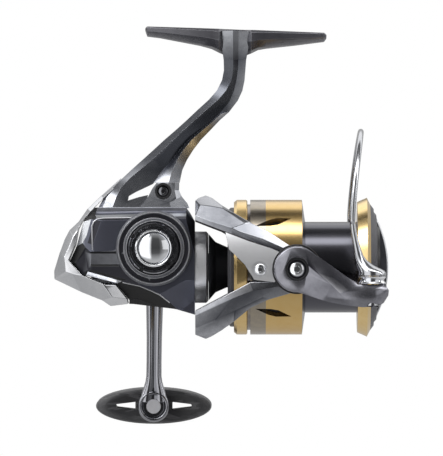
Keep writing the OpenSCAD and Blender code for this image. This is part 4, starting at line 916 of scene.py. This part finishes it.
disc_steps = 15
bail_corners = {
    **line("o", *disc_rim(DISC_R, ARM_FACE - ARM_EDGE)),
    **line("i", *disc_rim(DISC_FACE_R, ARM_FACE)),
    "qa": (25.6, 6.2, 32.5), "qb": (26.8, 0.8, 32.9), "qc": (25.0, -9.0, 32.4),
    "tc": (27.0, 6.6, 31.8), "td": (30.0, 4.4, 32.1), "te": (33.7, 1.8, 32.6),
    "tf": (37.8, -1.1, 33.3), "tg": (41.2, -3.6, 34.0), "th": (44.0, -5.1, 34.6),
    "ti": (44.9, -6.2, 35.2), "tj": (55.2, -6.2, 34.4), "tk": (56.5, -8.4, 33.2),
    "tl": (56.3, -10.3, 32.8), "tm": (54.6, -13.0, 33.0), "tn": (52.4, -14.5, 33.8),
    "mb": (30.7, -2.2, 34.2), "mc": (35.2, -6.3, 35.4), "mx": (38.4, -9.4, 36.0),
    "md": (40.4, -11.4, 36.1), "na": (36.2, -4.0, 34.7), "nb": (41.6, -8.2, 36.1),
    "bb": (26.0, -10.0, 31.8), "bc": (30.7, -11.6, 32.4), "bd": (35.2, -12.9, 33.2),
    "be": (40.8, -13.9, 34.2), "bf": (46.6, -14.6, 34.8),
    "lx": (33.2, -10.9, 33.6), "ly": (38.9, -12.2, 35.0),
    "va": (46.4, -8.6, 36.6), "vb": (46.4, -12.0, 36.5), "vc": (51.2, -8.5, 36.8),
    "vd": (51.2, -12.0, 36.6), "ve": (54.6, -9.0, 35.6), "vf": (53.6, -11.8, 35.5),
}
print(len(bail_corners), "corners on the bail arm")

# %% [markdown]
# One many-sided facet is the face of the disc, a strip of quads is its edge, and the rest follow
# the creases. One of them takes a lighter grey as a painted highlight and two a darker grey as
# painted shade, which deepens the twist.

# %% Facets of the bail arm
PLAIN, PAINTED_HIGHLIGHT, PAINTED_SHADE = 0, 1, 2
disc_face = " ".join(f"i{i}" for i in range(disc_steps + 1))
bail_facets = strip("o", "i", 0, disc_steps) + [(names, PLAIN) for names in (
    f"{disc_face} qc qb qa", "o0 i0 qa tc", f"i{disc_steps} o{disc_steps} bb qc",
    "qa tc td te na mb qb", "te tf tg nb na")]
bail_facets += [("mb na nb mx mc", PAINTED_HIGHLIGHT)]
bail_facets += [(names, PLAIN) for names in (
    "tg th ti va nb", "nb va vb md mx", "md vb bf be ly", "qb mb mc lx bc bb qc")]
bail_facets += [("mc mx lx", PAINTED_SHADE), ("lx mx md ly", PAINTED_SHADE)]
bail_facets += [(names, PLAIN) for names in (
    "bc lx ly be bd", "ti tj vc va", "tj tk ve vc", "tk tl vf ve", "tl tm vf", "tm tn vd vf",
    "tn bf vb vd", "va vc vd vb", "vc ve vf vd")]
print(len(bail_facets), "facets on the bail arm")

# %% [markdown]
# Two wells are cut into the arm: one round its hinge screw, lined with a black ring of painted
# shadow, and one from below, where the roller's cone stands.

# %% Bail arm
# Lighter and darker copies of the arm's paint: a painted highlight and painted shade.
bail_painted_highlight = finish("bail_painted_highlight", rgb(96, 96, 104), 0.26, 0.9, rgb(220, 220, 224), 0.5)
bail_shade = finish("bail_shade", rgb(60, 60, 68), 0.24, 0.9, rgb(170, 170, 178), 0.5, coat=0.3)
arm = relief(bail_corners, bail_facets, far_depth=arm_back)
pin_well = lathe([(0, -40), (4.35, -40), (4.35, -30.7), (0, -30.7)], hinge_axis)
foot_well = lathe([(0, -20), (3.2, -20), (3.2, -12.5), (0, -12.5)],
                  Vector((roller.x, roller.y, axis_z)), axis="Z")
arm = carve(arm, pin_well, foot_well)
piece("bail_arm_shell", arm, "bail", [bail_paint, bail_painted_highlight, bail_shade],
      ["bail_arm"], bevel=0.3, crisp=52)
well_ring = lathe([(3.5, -31.9), (4.32, -31.9), (4.32, -30.4), (3.5, -30.4)], hinge_axis)
piece("bail_screw_well", well_ring, "bail", [painted_shade_black], bevel=0.1)

# %% [markdown]
# ## Line roller cone and bail wire
# The wire springs from a bright cone over the roller, bows over the front of the spool and
# comes down on the far side. The cone is a loft of circles whose centres drift: each row is a
# height, the place of its centre and its radius.

# %% Roller cone
def ring(centre, radius, sides=28):
    return [centre + Vector((math.cos(a), math.sin(a), 0)) * radius * MM
            for a in (2 * math.pi * i / sides for i in range(sides))]


cone_rows = [(-3.0, 50.3, -32.2, 5.0), (-2.8, 50.3, -32.2, 5.2), (-1.9, 50.3, -32.2, 5.2),
             (-1.1, 49.9, -32.2, 4.9), (-0.2, 48.9, -32.1, 4.2), (0.9, 47.6, -32.0, 3.3),
             (2.6, 46.2, -31.9, 2.3), (4.4, 45.4, -31.7, 1.75), (6.6, 44.9, -31.5, 1.45),
             (10.0, 44.2, -31.2, 1.22), (13.0, 43.6, -31.05, 1.12), (16.2, 43.2, -31.0, 1.08)]
cone = loft([ring(at(x, z, y), r) for z, x, y, r in cone_rows])
piece("wire_cone", cone, "bail", [wire_steel], ["roller_cone"], bevel=0.1,
      crisp=40)


print("cone of", len(cone_rows), "rings")

# %% [markdown]
# The hoop is half a circle seen from the front. Seen from the side it leans forward by a power of
# the height, so it starts upright and bows more towards the top.

# %% Bail wire
HOOP, SPRING_Z, FOOT_X, WIRE_R = 31.0, 19.5, 43.2, 1.08
FOOT_HEIGHTS = (16.0, 17.8)
LEAN, LEAN_FROM, LEAN_SPAN, LEAN_POWER = 3.5, 19.0, 31.5, 1.35


def bow(z):
    return FOOT_X + LEAN * max(0.0, (z - LEAN_FROM) / LEAN_SPAN) ** LEAN_POWER


hoop = [at(FOOT_X, z, -HOOP) for z in FOOT_HEIGHTS]
hoop_steps = 72
for i in range(hoop_steps + 1):
    a = math.pi * i / hoop_steps
    z = SPRING_Z + HOOP * math.sin(a)
    hoop.append(at(bow(z), z, -HOOP * math.cos(a)))
hoop += [at(FOOT_X, z, HOOP) for z in reversed(FOOT_HEIGHTS)]
piece("bail_hoop", tube(hoop, WIRE_R), "bail", [wire_steel], ["bail_wire"],
      bevel=0.0, crisp=50)

# %% [markdown]
# ## Handle
# The crank arm is a slim forged bar with a channel down its face, flared into an eye at the
# knob. Rings across it hold the section of the bar, and turned parts make the hub and the eye.

# %% Handle arm
ARM_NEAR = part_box("handle_arm")[0].y / MM
crank_x, crank_z = crank.x / MM, (crank.z - axis_z) / MM
knob_x, knob_z = knob_centre.x / MM, (knob_centre.z - axis_z) / MM
lean_rate = (knob_x - crank_x) / (crank_z - knob_z)
# Each corner of the section is a share of the bar's half width and a depth behind its face.
arm_section = [(-1.0, 2.6), (-0.97, 1.5), (-0.84, 0.6), (-0.62, 0.1), (-0.42, 0.1), (-0.22, 0.6),
               (-0.04, 0.95), (0.16, 0.75), (0.36, 0.15), (0.58, 0.05), (0.8, 0.5), (0.95, 1.3),
               (1.0, 2.6), (0.8, 4.9), (-0.8, 4.9)]
arm_stations = [(crank_z, 3.9), (-4.0, 3.5), (-14.6, 3.2), (-27.0, 2.9), (-36.0, 2.85),
                (-41.5, 2.9), (-43.6, 3.2), (-45.6, 3.8), (-47.6, 4.5), (-49.6, 5.1),
                (-51.4, 5.3)]
arm_rings = [[at(crank_x + lean_rate * (crank_z - z) + u * half, z, ARM_NEAR + v)
              for u, v in arm_section] for z, half in arm_stations]
eye = lathe([(2.45, 1.3), (4.1, 1.3), (4.35, 0.5), (4.9, 0.0), (5.5, 0.15), (5.95, 0.9),
             (5.95, 4.4), (5.3, 5.0), (2.45, 5.0)], at(knob_x, knob_z, ARM_NEAR))
hub_disc = lathe([(3.2, 0.0), (6.9, 0.0), (7.6, 0.7), (7.6, 4.3), (6.9, 5.0), (3.2, 5.0)],
                 at(crank_x, crank_z, ARM_NEAR))
piece("crank_arm", merge(loft(arm_rings), eye, hub_disc), "crank", [dark_chrome],
      ["handle_arm"], bevel=0.3, crisp=45, segments=3)

# %% [markdown]
# The knob is a wide T of dense rubber over a core: an ellipse from the front, waisted for the
# fingers, with a dished face and two tapering windows.

# %% Handle knob
knob_low, knob_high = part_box("handle_knob")
INSET = 0.05
HALF_W = (knob_high.x - knob_low.x) / MM / 2 - INSET
HALF_T = (knob_high.z - knob_low.z) / MM / 2 - INSET
KNOB_Y, KNOB_H = knob_low.y / MM, (knob_high.y - knob_low.y) / MM
knob_rows = [(0.9, 0.30), (0.8, 0.62), (0.1, 0.74), (0.0, 0.82), (0.25, 0.91), (1.0, 0.975),
             (2.4, 1.0), (6.0, 0.99), (11.0, 0.955), (16.0, 0.955), (21.0, 0.985),
             (KNOB_H - 2.6, 1.0), (KNOB_H - 1.2, 0.975), (KNOB_H - 0.4, 0.91), (KNOB_H, 0.8),
             (KNOB_H, 0.3)]
knob_sides = 72
knob_rings = [[at(knob_x + HALF_W * s * math.cos(a), knob_z + HALF_T * s * math.sin(a),
                  KNOB_Y + d)
               for a in (2 * math.pi * i / knob_sides for i in range(knob_sides))]
              for d, s in knob_rows]
print(len(knob_rings), "rings on the knob")

# %% [markdown]
# Two cutters through the knob make the windows and a third makes the bore for its post. All
# three run past both faces, because a cutter that ends on a face leaves a ragged skin.

# %% Windows and bore
PAST, BORE_R = 3, 3.9
window_outline = [(7.0, -1.5), (14.1, -0.65), (14.5, 0.0), (14.1, 0.65), (7.0, 1.5)]
windows = [loft([[at(knob_x + side * u, knob_z + w, y) for u, w in window_outline]
                 for y in (KNOB_Y - PAST, KNOB_Y + KNOB_H + PAST)]) for side in (-1, 1)]
bore = lathe([(0, -PAST), (BORE_R, -PAST), (BORE_R, KNOB_H + PAST), (0, KNOB_H + PAST)],
             at(knob_x, knob_z, KNOB_Y), steps=48)
knob = carve(loft(knob_rings), *windows, bore)
piece("t_knob", knob, "knob", [knob_rubber], ["handle_knob"], bevel=0.35,
      crisp=35, segments=3)

# %% [markdown]
# ## Screw heads
# The screws that show have low domed heads with a hexagonal socket, so they catch the light as a
# ring round a dark hole.

# %% Domed screws
HEAD_H, SHANK, KEY, KEY_DEPTH = 2.0, 0.55, 0.42, 1.2


def domed_screw(name, cad, body, rise, metal=chrome):
    """Stands for a CAD screw. rise is the height of its dome in millimetres."""
    low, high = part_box(cad)
    near = abs(low.y) > abs(high.y)
    way = 1 if near else -1
    top, bottom = [y / MM for y in ((low.y, high.y) if near else (high.y, low.y))]
    radius = (high.x - low.x) / MM / 2
    centre = Vector(((low.x + high.x) / 2, 0, (low.z + high.z) / 2))
    crown = []
    for a in (math.radians(turn) for turn in range(0, 81, 10)):
        crown.append((radius * math.sin(a), top + way * rise * (1 - math.cos(a))))
    rim, shank = top + way * rise * 1.1, top + way * HEAD_H
    head = lathe(crown + [(radius, rim), (radius, shank), (radius * SHANK, shank),
                          (radius * SHANK, bottom), (0, bottom)], centre, steps=64)
    key, key_end = radius * KEY, top + way * KEY_DEPTH
    socket = lathe([(0, top - way), (key, top - way), (key, key_end), (0, key_end)], centre,
                   steps=6)
    piece(name, carve(head, socket), body, [metal], [cad], bevel=0.08, crisp=30)


domed_screw("leg_screw", "cover_screw", "reel", 0.6, dark_chrome)
domed_screw("cover_screw_near", "cover_pin_near", "rotor", 0.8)
domed_screw("cover_screw_far", "cover_pin_far", "rotor", 0.8)
domed_screw("bail_screw_near", "bail_pin_near", "rotor", 1.2)
domed_screw("bail_screw_far", "bail_pin_far", "rotor", 1.2)

# %% [markdown]
# The grip across the drag knob carries a bright bead that follows its curved crest.

# %% Drag knob bead
NOSE_X, CREST_R, BEAD_R, CREST_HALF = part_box("drag_knob")[1].x / MM, 40.0, 0.6, 20
crest = [at(NOSE_X - CREST_R + math.sqrt(CREST_R ** 2 - h * h), h)
         for h in range(-CREST_HALF, CREST_HALF + 1, 2)]
piece("drag_bead", tube(crest, BEAD_R), "drag_knob", [satin_silver],
      ["drag_knob_trim"], bevel=0.0, crisp=60)

# %% [markdown]
# ## Finishes for the working parts
# Turned, drilled and toothed parts already have their real shape in the model. They keep it and
# get their metal, and so does everything inside, which a reader who opens the reel will see. The
# parts that show from outside also get a fine bevel.

# %% Which part gets which finish
dress = {
    spool_gold: ["spool"],
    ring_gold: ["spool_rear_ring"],
    lip_gold: ["spool_lip"],
    drag_black: ["drag_knob", "lip_clamp"],
    cover_silver: ["arm_cover_near", "arm_cover_far", "clutch_collar"],
    chrome: ["line_roller"],
    wire_steel: ["wire_tail", "roller_pin", "main_shaft", "guide_rod", "drag_retainer"],
    bail_paint: ["bail_lever"],
    dark_chrome: ["handle_shaft"],
    cap_grey: ["eye_cap", "knob_end_cap"],
    black_plastic: ["clutch_cage"],
    bearing_steel: ["pinion_bearing", "drive_bearing_near", "drive_bearing_far", "knob_bearing",
                    "spool_bearing", "knob_post", "clutch_sleeve", "worm_shaft", "slider",
                    "spool_seat"],
    brass: ["pinion_bush", "pinion", "slider_pawl", "rotor_nut", "roller_bush", "drag_nut"],
    gear_alloy: ["drive_gear"],
    click_white: ["click_gear"],
    felt: ["drag_washers"],
}
bevelled = {"spool", "spool_rear_ring", "spool_lip", "drag_knob", "lip_clamp", "arm_cover_near",
            "arm_cover_far", "clutch_collar", "line_roller", "bail_lever",
            "handle_shaft", "eye_cap", "knob_end_cap"}
print(sum(len(names) for names in dress.values()), "working parts to dress")

# %% [markdown]
# The bevel is the same modifier that the shells got, so it is set up by the same helper: only its
# width and the angle that counts as an edge differ.

# %% Dress the working parts
PART_BEVEL, PART_CRISP = 0.18, 28
for material, names in dress.items():
    for name in names:
        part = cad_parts[name]
        part.data.materials.clear()
        part.data.materials.append(material)
        if name in bevelled:
            round_edges(part, PART_BEVEL, math.radians(PART_CRISP))
print(len(bevelled), "of them bevelled")

# %% [markdown]
# ## Studio
# Polished metal only looks like metal when it has something to reflect. The world is a set of
# soft bands round the spool axis: a dark band in front, a long narrow softbox overhead, a dark
# gap behind it and a paler band beyond. Each stop is an angle above the horizon and a level.

# %% Bands of the studio
world = bpy.data.worlds.new("studio")
bpy.context.scene.world = world
world.use_nodes = True
sky = world.node_tree
for old in list(sky.nodes):
    sky.nodes.remove(old)
toward = node(sky, "ShaderNodeTexCoord")
axes = node(sky, "ShaderNodeSeparateXYZ", {0: toward.outputs["Generated"]})
front = node(sky, "ShaderNodeMath", {0: axes.outputs[1]}, operation="MULTIPLY", in_1=-1.0)
tilt = node(sky, "ShaderNodeMath", {0: axes.outputs[2], 1: front.outputs[0]},
            operation="ARCTAN2")
turn = node(sky, "ShaderNodeMath", {0: axes.outputs[0], 1: front.outputs[0]},
            operation="ARCTAN2")
unit = node(sky, "ShaderNodeMapRange", {0: tilt.outputs[0]}, in_1=-math.pi, in_2=math.pi)
bands = node(sky, "ShaderNodeValToRGB", {0: unit.outputs[0]})
BANDS = [(-180, 0.5), (-110, 0.6), (-50, 0.5), (-34, 0.3), (-20, 0.1), (0, 0.06), (38, 0.08),
         (58, 0.3), (63, 4.2), (77, 4.2), (83, 0.7), (95, 0.22), (114, 0.2), (121, 1.5),
         (147, 1.3), (156, 0.5), (180, 0.5)]
ramp = bands.color_ramp
while len(ramp.elements) < len(BANDS):
    ramp.elements.new(0.5)
for element, (angle, level) in zip(ramp.elements, BANDS):
    element.position = (angle + 180) / 360
    element.color = (level, level, level, 1)
print("studio world with", len(BANDS), "band stops")

# %% [markdown]
# Two upright boxes stand in front: a bright one to the left, which gives the cap its crescent,
# and a faint wide one to the right. Each is the product of two windows, one round and one up.


# %% Softboxes of the studio
def window(source, low, high, soft):
    """1 between two angles in degrees, with soft edges."""
    rise = node(sky, "ShaderNodeMapRange", {0: source}, in_1=math.radians(low - soft),
                in_2=math.radians(low + soft))
    fall = node(sky, "ShaderNodeMapRange", {0: source}, in_1=math.radians(high - soft),
                in_2=math.radians(high + soft), in_3=1.0, in_4=0.0)
    return node(sky, "ShaderNodeMath", {0: rise.outputs[0], 1: fall.outputs[0]},
                operation="MULTIPLY").outputs[0]


left_box = node(sky, "ShaderNodeMath", {0: window(turn.outputs[0], -66, -14, 5),
                1: window(tilt.outputs[0], -42, 48, 6)}, operation="MULTIPLY")
right_glow = node(sky, "ShaderNodeMath", {0: window(turn.outputs[0], 34, 80, 12),
                  1: window(tilt.outputs[0], -40, 50, 10)}, operation="MULTIPLY")
boxes = node(sky, "ShaderNodeMath", {0: left_box.outputs[0]}, operation="MULTIPLY", in_1=1.2)
boxes = node(sky, "ShaderNodeMath", {0: right_glow.outputs[0], 2: boxes.outputs[0]},
             operation="MULTIPLY_ADD", in_1=0.3)
total = node(sky, "ShaderNodeMath", {0: bands.outputs[0], 1: boxes.outputs[0]}, operation="ADD")
print("two softboxes added")

# %% [markdown]
# What the camera sees directly stays plain white, and only reflections and light see the studio.

# %% Background
seen = node(sky, "ShaderNodeLightPath")
studio = node(sky, "ShaderNodeBackground", {0: total.outputs[0]}, in_1=1.0)
plain = node(sky, "ShaderNodeBackground", in_0=(1, 1, 1, 1), in_1=1.0)
pick = node(sky, "ShaderNodeMixShader",
            {0: seen.outputs["Is Camera Ray"], 1: studio.outputs[0], 2: plain.outputs[0]})
node(sky, "ShaderNodeOutputWorld", {0: pick.outputs[0]})
bpy.context.scene.view_settings.view_transform = "Standard"
print("white behind the reel")

# %% [markdown]
# The floor is a plain pale plane a little under the knob. It catches the soft shadow, but glossy
# rays pass it by, because its reflection would wash out the dark undersides of the metal.

# %% Floor
floor_mesh = bpy.data.meshes.new("floor")
FLOOR_HALF, FLOOR_GAP = 0.45, 0.03
floor_z = cad_box[0].z - FLOOR_GAP
floor_corners = [(x * FLOOR_HALF, y * FLOOR_HALF, floor_z)
                 for x, y in ((-1, -1), (1, -1), (1, 1), (-1, 1))]
floor_mesh.from_pydata(floor_corners, [], [(0, 1, 2, 3)])
floor = bpy.data.objects.new("floor", floor_mesh)
bpy.context.scene.collection.objects.link(floor)
floor_mesh.materials.append(finish("pale_floor", rgb(205, 205, 206), 0.8, 0.0, shade=0.02,
                                   bump=0.0))
floor.visible_glossy = False
print("floor at", round(floor_z, 3), "m")

# %% [markdown]
# Two large weak lamps model the paint and cast the shadow: a key from the upper left, and a fill
# from the right. The world does the rest.


# %% Lights
def softbox(name, place, target, size, power):
    light = bpy.data.lights.new(name, "AREA")
    light.shape, light.size, light.energy = "SQUARE", size, power
    thing = bpy.data.objects.new(name, light)
    bpy.context.scene.collection.objects.link(thing)
    thing.location = place
    thing.rotation_euler = (target - place).to_track_quat("-Z", "Y").to_euler()
    print(name, power, "W")


focus = Vector((0, 0, axis_z))
softbox("key", Vector((-0.5, -0.45, 0.55)), focus, 0.4, 1.6)
softbox("fill", Vector((0.6, -0.5, 0.1)), focus, 0.5, 0.4)

# %% [markdown]
# The camera stands straight at the side of the reel, level with its middle, and far away with a
# long lens, so that the outline shows almost without perspective.

# %% Camera
VIEW_X, VIEW_Z, VIEW_H, DISTANCE = -5.2 * MM, -73.9 * MM, 169.95 * MM, 3.0
camera_data = bpy.data.cameras.new("camera")
camera_data.lens = camera_data.sensor_width * DISTANCE / VIEW_H
camera = bpy.data.objects.new("camera", camera_data)
bpy.context.scene.collection.objects.link(camera)
camera.location = (VIEW_X, -DISTANCE, VIEW_Z)
camera.rotation_euler = (math.pi / 2, 0, 0)
bpy.context.scene.camera = camera
print("lens", round(camera_data.lens), "mm")
